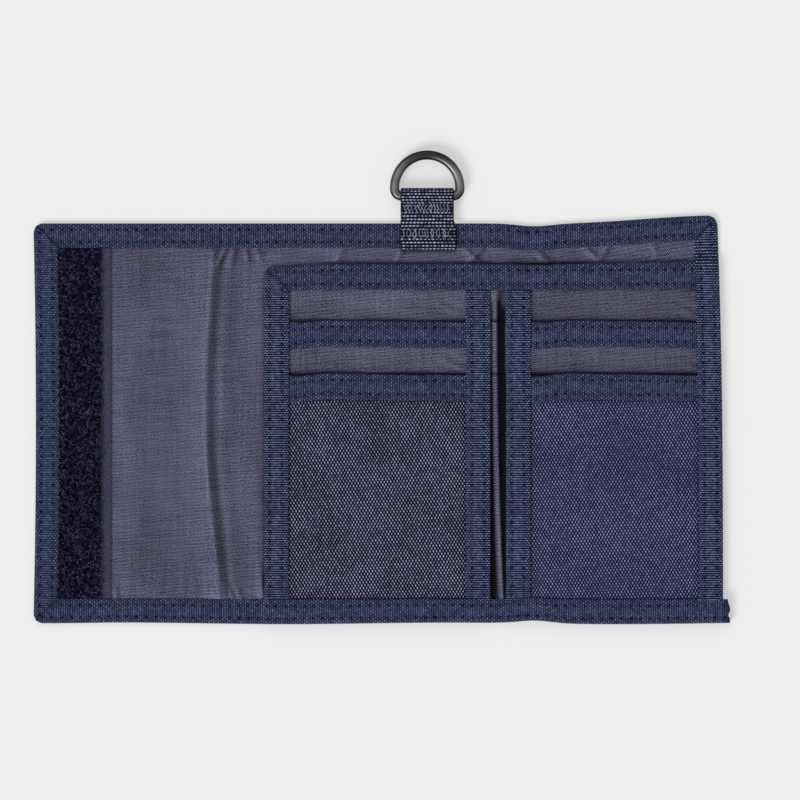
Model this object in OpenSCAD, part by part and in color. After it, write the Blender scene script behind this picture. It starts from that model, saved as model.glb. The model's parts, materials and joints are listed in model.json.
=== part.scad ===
// Trifold wallet of woven nylon, lying open with its inside face up.
// Plan positions are u, from the left edge, and v, from the bottom edge; z is up from the
// surface that the wallet lies on. place() moves them to the part's own frame, whose origin
// is the bottom centre of the whole wallet with its D-ring.

/* [Open wallet] */
// Height of the wallet, bottom edge to top edge
wallet_h = 129; // [120:0.5:140]
// Width of the closing flap, left edge to its fold
flap_w = 54; // [48:0.5:58]
// Width of the cloth spine between the flap and the middle panel
flap_fold_w = 8; // [7.7:0.1:10]
// Width of the middle panel, between the two folds
middle_w = 85; // [82:0.5:92]
// Width of the cloth spine between the middle panel and the leaf
leaf_fold_w = 4.7; // [4.1:0.1:6]
// Width of the leaf with the right card pockets
leaf_w = 70; // [66:0.5:72]

/* [Bindings] */
// Width of the tape face around the edges
tape_w = 7.9; // [6:0.1:10]
// Thickness of a tape on the inside face
tape_t = 0.55; // [0.4:0.05:0.6]
// Thickness of the tape and of the hook strip on the outside face
under_t = 0.7; // [0.5:0.05:0.8]
// Width of the tape over a pocket's mouth
lip_w = 8.4; // [6:0.1:10]
// Radius of the wallet's corners
corner_r = 2.4; // [1:0.1:4]
// How far the cut end of the bottom tape stands out past the right edge
tape_tail = 2.2; // [0.5:0.1:4]

/* [Cloth] */
// Thickness of the outer cloth
outer_t = 0.45; // [0.3:0.05:0.5]
// Thickness of the lining, of the card panel and of the inner pockets
lining_t = 0.2; // [0.15:0.05:0.25]
// Thickness of the canvas of the front pockets
canvas_t = 0.45; // [0.3:0.05:0.5]
// Height of the note compartment between the lining and the card panel
note_room = 0.35; // [0.2:0.05:0.4]
// Height of each card slot while it is empty
slot_room = 0.4; // [0.3:0.05:0.45]

/* [Card panel] */
// Distance from the flap's fold to the panel's left edge
panel_inset = 12; // [8:0.5:16]
// Height of the panel's top edge above the wallet's bottom edge
panel_h = 115.9; // [112:0.1:118]
// Height of the inner pockets' mouths above the wallet's bottom edge
inner_pocket_h = 97.5; // [94:0.1:100]
// Height of the front pockets' mouths above the wallet's bottom edge
front_pocket_h = 80.4; // [76:0.1:84]

/* [Hook and loop] */
// Width of the loop strip and of the hook strip
strip_w = 16.6; // [12:0.2:20]
// Height of the loop pile
pile_t = 1.5; // [1:0.1:1.6]

/* [Webbing and ring] */
// Distance from the left edge to the middle of the webbing loop
loop_u = 126.5; // [118:0.5:130]
// Width of the webbing
webbing_w = 17.4; // [16:0.1:17.6]
// Thickness of the webbing
webbing_t = 1.0; // [0.8:0.1:1]
// How far the webbing reaches below the wallet's top edge
webbing_down = 8.7; // [7:0.1:12]
// Height of the ring's straight bar above the wallet's top edge
bar_up = 8.7; // [6:0.1:12]
// Diameter of the ring's wire
wire_d = 3.0; // [2.5:0.1:3]
// Inside width of the ring
ring_inner_w = 18; // [18:0.1:22]
// Distance from the ring's bar to the centre of its round end
ring_leg = 2.7; // [2.4:0.1:6]

/* [Hidden] */

$fn = 48;

// Colours of the cloths, tapes and metal
navy_tape = [0.19, 0.22, 0.33];
grey_lining = [0.33, 0.33, 0.42];
navy_canvas = [0.25, 0.26, 0.35];
navy_outer = [0.17, 0.19, 0.30];
dark_pile = [0.08, 0.08, 0.16];
navy_web = [0.22, 0.23, 0.33];
thread_blue = [0.14, 0.17, 0.30];
dark_metal = [0.27, 0.27, 0.28];

// Each side of a fold line stays clear of it by this much
fold_relief = 0.15;
// Cuts reach this far past the faces they go through
past = 1;

// Fold lines, from the left edge
flap_line = flap_w;
middle_line = flap_line + flap_fold_w;
leaf_line = middle_line + middle_w;
right_line = leaf_line + leaf_fold_w;
wallet_w = right_line + leaf_w;

// Left and right ends of each body's cloth
flap_end = flap_line - fold_relief;
flap_fold_u = [flap_line + fold_relief, middle_line - fold_relief];
middle_u = [middle_line + fold_relief, leaf_line - fold_relief];
leaf_fold_u = [leaf_line + fold_relief, right_line - fold_relief];
leaf_start = right_line + fold_relief;

// Heights of the layers
outer_z = under_t;
lining_z = outer_z + outer_t;
thin_z = lining_z + lining_t;
thin_top = thin_z + 0.5;
panel_z = thin_z + note_room;
inner_z = panel_z + lining_t + slot_room;
inner_top = inner_z + lining_t;
front_z = inner_top + slot_room;
front_top = front_z + canvas_t;
stack_top = front_top + tape_t;
// The panel's top tape lies over the ends of the column tapes
panel_tape_top = panel_z + lining_t + 1.05;
// At the leaf's fold the layers are pressed together
pressed_t = 0.15;
pressed_panel_z = thin_z;
pressed_inner_z = pressed_panel_z + pressed_t;
pressed_top = pressed_inner_z + pressed_t;

// Card panel
panel_u = middle_line + panel_inset;
panel_tape_v = panel_h - lip_w;
column_left_u = leaf_line - fold_relief - tape_w;
column_right_u = leaf_start + tape_w;
right_face_u = wallet_w - tape_w;

// Hook and loop: the closed flap lays the loop strip on the hook strip
loop_strip_u = tape_w;
hook_strip_u = right_line + leaf_line - (middle_line + flap_line - loop_strip_u);
strip_clear = 0.2;

// Webbing loop and D-ring
bar_v = wallet_h + bar_up;
bar_z = thin_top + webbing_t;
bar_room = 0.2;
eye_r = wire_d / 2 + bar_room;
tack_t = 0.2;
tack_w = webbing_w - 2;
tack_v = [123.9, 132.2];
tack_h = [3.2, 2.6];
corner_wire_r = wire_d / 2 + 0.8;
ring_r = (ring_inner_w + wire_d) / 2;

// The whole part, from which its frame is set
total_w = wallet_w + tape_tail;
total_h = bar_v + ring_leg + ring_r + wire_d / 2;

module place() {
    translate([-total_w / 2, -total_h / 2, 0])
        children();
}

// A flat block over us by vs, from z0 to z1
module layer(us, vs, z0, z1) {
    translate([us[0], vs[0], z0])
        cube([us[1] - us[0], vs[1] - vs[0], z1 - z0]);
}

// The wallet's outline with its rounded corners, or the same set in by d
module outline(d = 0) {
    r = corner_r - d;
    ends_u = [d, wallet_w - d];
    ends_v = [d, wallet_h - d];
    translate([ends_u[0] + r, ends_v[0]])
        square([wallet_w - 2 * corner_r, wallet_h - 2 * d]);
    translate([ends_u[0], ends_v[0] + r])
        square([wallet_w - 2 * d, wallet_h - 2 * corner_r]);
    for (u = [corner_r, wallet_w - corner_r], v = [corner_r, wallet_h - corner_r])
        translate([u, v])
            circle(r);
}

// A tape over a mitred stretch of the wallet's edge, up to z1
module edge_tape(points, z1) {
    linear_extrude(z1)
        intersection() {
            outline();
            polygon(points);
        }
}

// The room inside the edge tapes for the cloth that they hold
module cloth_room(z1) {
    translate([0, 0, under_t])
        linear_extrude(z1 - under_t)
            outline(tape_t);
}

// A cloth of thickness t over us by vs, with the wallet's own corners
module sheet(us, vs, z0, t) {
    intersection() {
        layer(us, vs, z0, z0 + t);
        linear_extrude(stack_top)
            outline(tape_t);
    }
}

cloth_v = [tape_t, wallet_h - tape_t];
top_tape_v = [wallet_h - tape_w, wallet_h];
bottom_tape_v = [0, tape_w];
panel_v = [tape_t, panel_h - tape_t];
inner_v = [tape_t, inner_pocket_h - tape_t];
front_v = [tape_t, front_pocket_h - tape_t];
column_v = [tape_w, panel_tape_v];
strip_v = [tape_w + strip_clear, wallet_h - tape_w - strip_clear];

// ---- Flap ----

module shell_flap() {
    color(navy_outer)
        sheet([tape_t, flap_end], cloth_v, outer_z, outer_t);
}

module lining_flap() {
    color(grey_lining)
        sheet([tape_t, flap_end], cloth_v, lining_z, lining_t);
}

module left_binding() {
    color(navy_tape)
        difference() {
            edge_tape([[0, 0], [tape_w, tape_w], [tape_w, wallet_h - tape_w], [0, wallet_h]],
                      thin_top);
            cloth_room(thin_z);
        }
}

module top_binding_flap() {
    color(navy_tape)
        difference() {
            edge_tape([[0, wallet_h], [tape_w, wallet_h - tape_w],
                       [flap_end, wallet_h - tape_w], [flap_end, wallet_h]], thin_top);
            cloth_room(thin_z);
        }
}

module bottom_binding_flap() {
    color(navy_tape)
        difference() {
            edge_tape([[0, 0], [flap_end, 0], [flap_end, tape_w], [tape_w, tape_w]], thin_top);
            cloth_room(thin_z);
        }
}

module loop_strip() {
    color(dark_pile)
        sheet([loop_strip_u, loop_strip_u + strip_w], strip_v, thin_z, pile_t);
}

// ---- Flap fold ----

module shell_flap_fold() {
    color(navy_outer)
        sheet(flap_fold_u, cloth_v, outer_z, outer_t);
}

module lining_flap_fold() {
    color(grey_lining)
        sheet(flap_fold_u, cloth_v, lining_z, lining_t);
}

// A straight tape folded round the wallet's top or bottom edge, holding cloth up to room_z
module straight_binding(us, vs, z1, room_z) {
    difference() {
        layer(us, vs, 0, z1);
        cloth_room(room_z);
    }
}

module top_binding_flap_fold() {
    color(navy_tape)
        straight_binding(flap_fold_u, top_tape_v, thin_top, thin_z);
}

module bottom_binding_flap_fold() {
    color(navy_tape)
        straight_binding(flap_fold_u, bottom_tape_v, thin_top, thin_z);
}

// ---- Middle ----

module shell_middle() {
    color(navy_outer)
        sheet(middle_u, cloth_v, outer_z, outer_t);
}

module lining_middle() {
    color(grey_lining)
        sheet(middle_u, cloth_v, lining_z, lining_t);
}

module top_binding_middle() {
    color(navy_tape)
        straight_binding(middle_u, top_tape_v, thin_top, thin_z);
}

// The bottom tape rises where the card panel starts
module bottom_binding_middle() {
    color(navy_tape) {
        straight_binding([middle_u[0], panel_u], bottom_tape_v, thin_top, thin_z);
        straight_binding([panel_u, middle_u[1]], bottom_tape_v, stack_top, front_top);
    }
}

module card_panel_left() {
    color(grey_lining)
        sheet([panel_u + tape_t, middle_u[1]], panel_v, panel_z, lining_t);
}

// A tape folded round the left edge of the whole pocket stack
module panel_left_binding() {
    color(navy_tape)
        difference() {
            layer([panel_u, panel_u + tape_w], [tape_w, panel_tape_v], thin_z, stack_top);
            layer([panel_u + tape_t, panel_u + tape_w + past],
                  [tape_w - past, panel_tape_v + past], panel_z, front_top);
        }
}

// A tape folded over the panel's top edge
module panel_top_tape(us, u_room) {
    difference() {
        layer(us, [panel_tape_v, panel_h], thin_z, panel_tape_top);
        layer([u_room, us[1] + past], [panel_tape_v - past, panel_h - tape_t],
              panel_z, panel_z + lining_t);
    }
}

module panel_top_binding_left() {
    color(navy_tape)
        panel_top_tape([panel_u, middle_u[1]], panel_u + tape_t);
}

// A tape folded over a pocket's mouth: the pocket's cloth fills the room from z0 to z1
module pocket_lip(us, mouth_v, z0, z1) {
    difference() {
        layer(us, [mouth_v - lip_w, mouth_v], z0 - slot_room, z1 + tape_t);
        layer([us[0] - past, us[1] + past], [mouth_v - lip_w - past, mouth_v - tape_t], z0, z1);
    }
}

lip_left_u = [panel_u + tape_w, column_left_u];
lip_right_u = [column_right_u, right_face_u];

module inner_pocket_left() {
    color(grey_lining)
        sheet([panel_u + tape_t, middle_u[1]], inner_v, inner_z, lining_t);
}

module inner_pocket_lip_left() {
    color(navy_tape)
        pocket_lip(lip_left_u, inner_pocket_h, inner_z, inner_top);
}

module front_pocket_left() {
    color(navy_canvas)
        sheet([panel_u + tape_t, middle_u[1] - tape_t], front_v, front_z, canvas_t);
}

module front_pocket_lip_left() {
    color(navy_tape)
        pocket_lip(lip_left_u, front_pocket_h, front_z, front_top);
}

// A tape beside the leaf's fold, folded round the side edge of the front pocket
module column_binding(us, room_us) {
    difference() {
        layer(us, column_v, inner_top, stack_top);
        layer(room_us, [tape_w - past, front_pocket_h - tape_t], front_z, front_top);
    }
}

module column_binding_left() {
    color(navy_tape)
        column_binding([column_left_u, middle_u[1]],
                       [column_left_u - past, middle_u[1] - tape_t]);
}

// Two layers of webbing that part round the ring's bar
module webbing_loop() {
    color(navy_web)
        difference() {
            union() {
                layer([loop_u - webbing_w / 2, loop_u + webbing_w / 2],
                      [wallet_h - webbing_down, bar_v], bar_z - webbing_t, bar_z + webbing_t);
                translate([loop_u - webbing_w / 2, bar_v, bar_z])
                    rotate([0, 90, 0])
                        cylinder(r = eye_r + webbing_t, h = webbing_w);
            }
            translate([loop_u - webbing_w / 2 - past, bar_v, bar_z])
                rotate([0, 90, 0])
                    cylinder(r = eye_r, h = webbing_w + 2 * past);
        }
}

// Zigzag rows of thread that hold the webbing's two layers
module bar_tacks() {
    color(thread_blue)
        for (i = [0, 1])
            layer([loop_u - tack_w / 2, loop_u + tack_w / 2], [tack_v[i], tack_v[i] + tack_h[i]],
                  bar_z + webbing_t, bar_z + webbing_t + tack_t);
}

// ---- Leaf fold ----

module shell_leaf_fold() {
    color(navy_outer)
        sheet(leaf_fold_u, cloth_v, outer_z, outer_t);
}

module lining_leaf_fold() {
    color(grey_lining)
        sheet(leaf_fold_u, cloth_v, lining_z, lining_t);
}

module card_panel_fold() {
    color(grey_lining)
        sheet(leaf_fold_u, panel_v, pressed_panel_z, pressed_t);
}

module inner_pocket_fold() {
    color(grey_lining)
        sheet(leaf_fold_u, inner_v, pressed_inner_z, pressed_t);
}

module panel_top_binding_fold() {
    color(navy_tape)
        difference() {
            layer(leaf_fold_u, [panel_tape_v, panel_h], pressed_panel_z, thin_top);
            layer([leaf_fold_u[0] - past, leaf_fold_u[1] + past],
                  [panel_tape_v - past, panel_h - tape_t], pressed_panel_z - past,
                  pressed_inner_z);
        }
}

module top_binding_leaf_fold() {
    color(navy_tape)
        straight_binding(leaf_fold_u, top_tape_v, thin_top, thin_z);
}

module bottom_binding_leaf_fold() {
    color(navy_tape)
        straight_binding(leaf_fold_u, bottom_tape_v, thin_top, pressed_top);
}

// ---- Leaf ----

leaf_cloth_u = [leaf_start, wallet_w - tape_t];

module shell_leaf() {
    color(navy_outer)
        sheet(leaf_cloth_u, cloth_v, outer_z, outer_t);
}

module lining_leaf() {
    color(grey_lining)
        sheet(leaf_cloth_u, cloth_v, lining_z, lining_t);
}

module top_binding_leaf() {
    color(navy_tape)
        difference() {
            edge_tape([[leaf_start, wallet_h - tape_w], [right_face_u, wallet_h - tape_w],
                       [wallet_w, wallet_h], [leaf_start, wallet_h]], thin_top);
            cloth_room(thin_z);
        }
}

// The tape's cut end stands out past the right edge
module bottom_binding_leaf() {
    color(navy_tape) {
        straight_binding([leaf_start, wallet_w], bottom_tape_v, stack_top, front_top);
        layer([wallet_w, wallet_w + tape_tail], bottom_tape_v, outer_z, inner_top);
    }
}

// The right tape holds the whole stack up to the panel's top, and the thin edge above it
module right_binding() {
    color(navy_tape) {
        difference() {
            layer([right_face_u, wallet_w], [tape_w, panel_h], 0, stack_top);
            cloth_room(front_top);
        }
        difference() {
            edge_tape([[right_face_u, panel_h], [wallet_w, panel_h], [wallet_w, wallet_h],
                       [right_face_u, wallet_h - tape_w]], thin_top);
            cloth_room(thin_z);
        }
    }
}

module card_panel_right() {
    color(grey_lining)
        sheet(leaf_cloth_u, panel_v, panel_z, lining_t);
}

module panel_top_binding_right() {
    color(navy_tape)
        panel_top_tape([leaf_start, right_face_u], leaf_start - past);
}

module inner_pocket_right() {
    color(grey_lining)
        sheet(leaf_cloth_u, inner_v, inner_z, lining_t);
}

module inner_pocket_lip_right() {
    color(navy_tape)
        pocket_lip(lip_right_u, inner_pocket_h, inner_z, inner_top);
}

module front_pocket_right() {
    color(navy_canvas)
        sheet([leaf_start + tape_t, leaf_cloth_u[1]], front_v, front_z, canvas_t);
}

module front_pocket_lip_right() {
    color(navy_tape)
        pocket_lip(lip_right_u, front_pocket_h, front_z, front_top);
}

module column_binding_right() {
    color(navy_tape)
        column_binding([leaf_start, column_right_u],
                       [leaf_start + tape_t, column_right_u + past]);
}

// The hooks face down, on the outside of the leaf
module hook_strip() {
    color(dark_pile)
        sheet([hook_strip_u, hook_strip_u + strip_w], strip_v, 0, under_t);
}

// ---- D-ring ----

// A straight length of wire from p, along direction angle a in the ring's plane
module wire(p, a, length) {
    translate([p[0], p[1], 0])
        rotate([0, 0, a])
            rotate([0, 90, 0])
                cylinder(d = wire_d, h = length);
}

// A bend in the wire about c, from angle a through sweep
module wire_bend(c, r, a, sweep) {
    translate([c[0], c[1], 0])
        rotate([0, 0, a])
            rotate_extrude(angle = sweep, $fn = 96)
                translate([r, 0])
                    circle(d = wire_d);
}

module d_ring() {
    bar_half = ring_r - corner_wire_r;
    color(dark_metal)
        translate([loop_u, bar_v, bar_z]) {
            wire([-bar_half, 0], 0, 2 * bar_half);
            wire_bend([bar_half, corner_wire_r], corner_wire_r, 270, 90);
            wire_bend([-bar_half, corner_wire_r], corner_wire_r, 180, 90);
            for (side = [-1, 1])
                wire([side * ring_r, corner_wire_r], 90, ring_leg - corner_wire_r);
            wire_bend([0, ring_leg], ring_r, 0, 180);
        }
}

place() {
    shell_flap();
    lining_flap();
    left_binding();
    top_binding_flap();
    bottom_binding_flap();
    loop_strip();
    shell_flap_fold();
    lining_flap_fold();
    top_binding_flap_fold();
    bottom_binding_flap_fold();
    shell_middle();
    lining_middle();
    top_binding_middle();
    bottom_binding_middle();
    card_panel_left();
    panel_left_binding();
    panel_top_binding_left();
    inner_pocket_left();
    inner_pocket_lip_left();
    front_pocket_left();
    front_pocket_lip_left();
    column_binding_left();
    webbing_loop();
    bar_tacks();
    shell_leaf_fold();
    lining_leaf_fold();
    card_panel_fold();
    inner_pocket_fold();
    panel_top_binding_fold();
    top_binding_leaf_fold();
    bottom_binding_leaf_fold();
    shell_leaf();
    lining_leaf();
    top_binding_leaf();
    bottom_binding_leaf();
    right_binding();
    card_panel_right();
    panel_top_binding_right();
    inner_pocket_right();
    inner_pocket_lip_right();
    front_pocket_right();
    front_pocket_lip_right();
    column_binding_right();
    hook_strip();
    d_ring();
}
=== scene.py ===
"""Looks of the open trifold wallet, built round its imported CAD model.

Lengths are in millimetres until a mesh is made. Places are u, from the wallet's left edge, v, from
its bottom edge, and z, up from the surface that it lies on. place_points() turns them into metres.
"""

import json
import math

import bmesh
import bpy
import numpy as np
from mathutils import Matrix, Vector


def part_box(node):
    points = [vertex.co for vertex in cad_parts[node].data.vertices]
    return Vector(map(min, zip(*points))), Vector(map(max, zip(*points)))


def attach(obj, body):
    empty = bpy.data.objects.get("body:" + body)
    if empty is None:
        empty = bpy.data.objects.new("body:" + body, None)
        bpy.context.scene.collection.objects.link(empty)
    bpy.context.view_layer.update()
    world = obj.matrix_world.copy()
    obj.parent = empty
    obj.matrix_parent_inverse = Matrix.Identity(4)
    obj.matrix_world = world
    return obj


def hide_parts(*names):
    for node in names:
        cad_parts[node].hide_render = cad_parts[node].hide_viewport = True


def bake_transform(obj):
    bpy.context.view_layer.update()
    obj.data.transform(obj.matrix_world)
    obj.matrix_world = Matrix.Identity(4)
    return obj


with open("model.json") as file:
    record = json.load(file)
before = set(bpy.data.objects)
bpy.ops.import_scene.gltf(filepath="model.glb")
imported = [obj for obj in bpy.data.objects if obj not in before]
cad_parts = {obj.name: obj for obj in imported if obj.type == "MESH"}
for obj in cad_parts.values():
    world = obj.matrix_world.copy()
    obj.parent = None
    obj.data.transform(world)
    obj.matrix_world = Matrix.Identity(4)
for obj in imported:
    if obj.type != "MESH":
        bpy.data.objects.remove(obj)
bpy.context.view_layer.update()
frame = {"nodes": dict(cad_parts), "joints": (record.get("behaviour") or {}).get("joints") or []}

MM = 0.001
SEED = 7

# ---- Sizes, all from the CAD model ----

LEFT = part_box("left_binding")[0].x
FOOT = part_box("bottom_binding_flap")[0].y


def span(node):
    """Lowest and highest (u, v, z) of a CAD node, in millimetres."""
    low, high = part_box(node)
    corner = np.array([LEFT, FOOT, 0.0])
    return (np.array(low) - corner) / MM, (np.array(high) - corner) / MM


def joint_place(name):
    """Where a joint stands, in the frame's metres."""
    return next(joint for joint in frame["joints"] if joint["name"] == name)["pos_m"]


def joint_u(name):
    """Where a fold's joint stands, from the left edge, in millimetres."""
    return (joint_place(name)[0] - LEFT) / MM


WIDTH = span("right_binding")[1][0]
HEIGHT = span("top_binding_middle")[1][1]
TAPE_W = HEIGHT - span("top_binding_middle")[0][1]
THIN_TOP = span("top_binding_middle")[1][2]
STACK_TOP = span("right_binding")[1][2]
OUTER_Z, LINING_Z = span("shell_middle")[0][2], span("lining_middle")[0][2]
OUTER_T, LINING_T = LINING_Z - OUTER_Z, span("lining_middle")[1][2] - LINING_Z
THIN_Z = LINING_Z + LINING_T
HEM = span("shell_flap")[0][0]
FLAP_FOLD, MIDDLE_FOLD = joint_u("flap_fold"), joint_u("flap_spine_fold")
LEAF_SPINE_FOLD, LEAF_FOLD = joint_u("leaf_spine_fold"), joint_u("leaf_fold")
PANEL_LEFT = span("panel_left_binding")[0][0]
PANEL_Z, PANEL_TOP = span("card_panel_left")[0][2], span("panel_top_binding_left")[1][1]
PANEL_TAPE_TOP = span("panel_top_binding_left")[1][2]
LIP_W = PANEL_TOP - span("panel_top_binding_left")[0][1]
INNER_Z, INNER_TOP = span("inner_pocket_left")[0][2], span("inner_pocket_lip_left")[1][1]
FRONT_Z, FRONT_TOP = span("front_pocket_left")[0][2], span("front_pocket_lip_left")[1][1]
CANVAS_T = span("front_pocket_left")[1][2] - FRONT_Z
COLUMN_LEFT = span("column_binding_left")[0][0], span("column_binding_left")[1][0]
COLUMN_RIGHT = span("column_binding_right")[0][0], span("column_binding_right")[1][0]
PRESSED_Z = span("card_panel_fold")[0][2], span("inner_pocket_fold")[0][2]
STRIP_RIGHT = span("loop_strip")[1][0]
TAIL = span("bottom_binding_leaf")[1][0] - WIDTH
WEBBING_LOW, WEBBING_HIGH = span("webbing_loop")
TACK_LOW, TACK_HIGH = span("bar_tacks")

# ---- Sizes of what the CAD model leaves plain ----

# Radii of the wallet's corners and of the card panel's top left corner
CORNER_R = 3.3
PANEL_CORNER_R = 3.0
# Where the pile ends on the loop strip, and its woven selvage begins
SELVAGE = STRIP_RIGHT - 2.6
# Pitch of the tapes' ribs, and how high they stand on an upright and on a level tape
RIB = 0.735
RIB_H, CALM_RIB_H = 0.24, 0.14
# Length of a stitch, how far its row is from a tape's edge, and the thread's radius
STITCH = 3.0
ROW_INSET = 2.0
THREAD_R = 0.16
# Pitches of the canvas weave across and up, its height, and how far its crowns and its grain lean
WEAVE_U, WEAVE_V = 1.05, 1.78
WEAVE_H = 0.24
WEAVE_LEAN, WEAVE_TURN = 0.05, 0.05
# Pitches of the webbing's rows and of the crowns along a row, and how a row is shifted from the last
WEB_ROW, WEB_BLOB, WEB_SHIFT = 1.07, 1.2, 2.4
# Spacing of the mesh along a tape, the strip beside each mesh end, and a place past every end
STATION = RIB / 5
EDGE = 0.02
FAR = 1e6

# How far each fold's bend reaches to the sides of its joint
BEND = {"flap": (MIDDLE_FOLD - FLAP_FOLD) / 2 - 0.1, "leaf": (LEAF_FOLD - LEAF_SPINE_FOLD) / 2 - 0.1}


# ---- Small maths ----

def smooth(a, b, x):
    """Rises smoothly from 0 at a to 1 at b."""
    t = np.clip((x - a) / (b - a), 0, 1)
    return t * t * (3 - 2 * t)


def bell(x, centre, width):
    return np.exp(-((x - centre) / width) ** 2)


def fold_back(x, period):
    """Distance from x to the nearest whole number of periods."""
    return np.abs((x + period / 2) % period - period / 2)


class Waves:
    """A smooth seeded height field: a sum of sine waves of random direction and phase."""

    def __init__(self, seed, lengths, turn=(0, 2 * math.pi), count=5):
        draw = np.random.default_rng(SEED * 1000 + seed)
        self.parts = []
        for length in lengths:
            for _ in range(count):
                angle = draw.uniform(*turn)
                k = 2 * math.pi / (length * draw.uniform(0.75, 1.3))
                self.parts.append((k * math.cos(angle), k * math.sin(angle), draw.uniform(0, 2 * math.pi),
                                   length / max(lengths)))
        self.total = math.sqrt(sum(p[3] ** 2 for p in self.parts) / 2)

    def __call__(self, u, v):
        return sum(h * np.sin(a * u + b * v + c) for a, b, c, h in self.parts) / self.total


# ---- The wallet's outline ----

def corner_shrink(a, b, inside):
    """How much a square corner's reaches a and b are drawn in to make it round."""
    return np.where(inside, np.maximum(a, b) / np.maximum(np.hypot(a, b), 1e-9), 1)


def round_corners(u, v):
    """Rounds the wallet's corners, but for the lower right one, where the tape runs on past it."""
    du = np.minimum(u, WIDTH - u)
    dv = np.minimum(v, HEIGHT - v)
    a = np.clip(CORNER_R - du, 0, None)
    b = np.clip(CORNER_R - dv, 0, None)
    inside = (a > 0) & (b > 0) & (du > -0.3) & (dv > -0.3)
    inside = inside & ((u < WIDTH / 2) | (v > HEIGHT / 2))
    shrink = corner_shrink(a, b, inside)
    side_u = np.where(u < WIDTH / 2, 1, -1)
    side_v = np.where(v < HEIGHT / 2, 1, -1)
    return u + side_u * a * (1 - shrink), v + side_v * b * (1 - shrink)


def settle(u, v):
    """The leans and waves of the cloth's outline as it lies."""
    near_top = smooth(PANEL_TOP - 4, PANEL_TOP + 6, v)
    near_foot = 1 - smooth(0, 14, v)
    near_right = smooth(WIDTH - 45, WIDTH, u)
    near_left = 1 - smooth(0, 30, u)
    dip = bell(u, LEAF_FOLD + 9.5, 7.5)
    up = near_top * (2.6 * smooth(LEAF_FOLD + 15, WIDTH + 2, u) - 0.9 * dip)
    up = up + near_foot * (0.9 * dip + 0.25 * np.sin(u / 17.0) * smooth(0, 30, u))
    along = near_right * (0.2 - 1.9 * (v / HEIGHT) ** 3)
    along = along + near_left * (0.3 - 0.8 * (2 * v / HEIGHT - 1) ** 2)
    return u + along, v + up


def place_points(points):
    """Points in millimetres, rounded at the corners and settled, in the frame's metres."""
    u, v = round_corners(points[:, 0], points[:, 1])
    u, v = settle(u, v)
    return np.stack([LEFT + u * MM, FOOT + v * MM, points[:, 2] * MM], 1)


# ---- Meshes ----

def grid_faces(rows, columns, start=0, flip=False):
    """Quads of a grid of points kept row by row."""
    i = np.arange(rows - 1)[:, None] * columns + np.arange(columns - 1)[None, :] + start
    order = [i, i + columns, i + columns + 1, i + 1]
    if flip:
        order = order[::-1]
    return np.stack([x.ravel() for x in order], 1)


def slab_faces(rows, columns):
    """Quads of a closed slab: a grid of top points, then the same grid of bottom points."""
    n = rows * columns
    faces = [grid_faces(rows, columns), grid_faces(rows, columns, start=n, flip=True)]
    first, last = np.arange(columns), np.arange(columns) + (rows - 1) * columns
    left, right = np.arange(rows) * columns, np.arange(rows) * columns + columns - 1
    for edge in (first, right, last[::-1], left[::-1]):
        a, b = edge[:-1], edge[1:]
        faces.append(np.stack([a, b, b + n, a + n], 1))
    return np.concatenate(faces), len(faces[0]) * 2


def outward(points, faces):
    """The faces, turned so that they look out of the solid that they close."""
    corner = points[faces]
    cross = np.cross(corner[:, 1] - corner[:, 0], corner[:, 2] - corner[:, 0])
    cross = cross + np.cross(corner[:, 2] - corner[:, 0], corner[:, -1] - corner[:, 0])
    volume = (corner.mean(1) * cross).sum()
    return faces if volume > 0 else faces[:, ::-1]


def add_object(name, data):
    """A new object in the scene, from its mesh, camera or light."""
    item = bpy.data.objects.new(name, data)
    bpy.context.scene.collection.objects.link(item)
    return item


def make_mesh(name, points, faces, uv, material, merge=0.0, smooth_faces=None, shade=None):
    """A shown mesh from points in millimetres, with a UV map in millimetres for its weave.

    shade darkens the colour at its points, mostly as painted shade: 1 in the open, 0 down in a hole or a
    fold.
    """
    mesh = bpy.data.meshes.new(name)
    mesh.from_pydata(place_points(points).tolist(), [], faces.tolist())
    layer = mesh.uv_layers.new(name="weave")
    corners = np.zeros(len(mesh.loops), np.int32)
    mesh.loops.foreach_get("vertex_index", corners)
    layer.data.foreach_set("uv", uv[corners].astype(np.float32).ravel())
    mesh.polygons.foreach_set("use_smooth", np.arange(len(faces)) < (smooth_faces or len(faces)))
    dark = mesh.attributes.new("shade", "FLOAT", "POINT")
    dark.data.foreach_set("value", np.ones(len(points)) if shade is None else shade.ravel())
    if merge:
        merge_points(mesh, merge * MM)
    mesh.materials.append(material)
    mesh.update()
    return add_object(name, mesh)


def merge_points(mesh, distance):
    """Joins points that a cut has drawn together, and drops the faces that it emptied."""
    work = bmesh.new()
    work.from_mesh(mesh)
    bmesh.ops.remove_doubles(work, verts=work.verts, dist=distance)
    bmesh.ops.dissolve_degenerate(work, edges=work.edges, dist=distance)
    work.to_mesh(mesh)
    work.free()


def make_slab(name, top, bottom, uv, material, merge=0.0, shade=None):
    """A closed slab from two equal grids of points, rows x columns x 3."""
    rows, columns = top.shape[:2]
    points = np.concatenate([top.reshape(-1, 3), bottom.reshape(-1, 3)])
    both = np.concatenate([uv.reshape(-1, 2), uv.reshape(-1, 2)])
    faces, smooth_faces = slab_faces(rows, columns)
    dark = None if shade is None else np.concatenate([shade.ravel(), shade.ravel()])
    return make_mesh(name, points, outward(points, faces), both, material, merge, smooth_faces, dark)


def close_ends(places):
    """Adds a place just inside each end, so that only a thread's width of cloth turns over the edge."""
    return np.concatenate([places[:1], places[:1] + EDGE, places[1:-1], places[-1:] - EDGE, places[-1:]])


# ---- Where a piece rides ----

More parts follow.
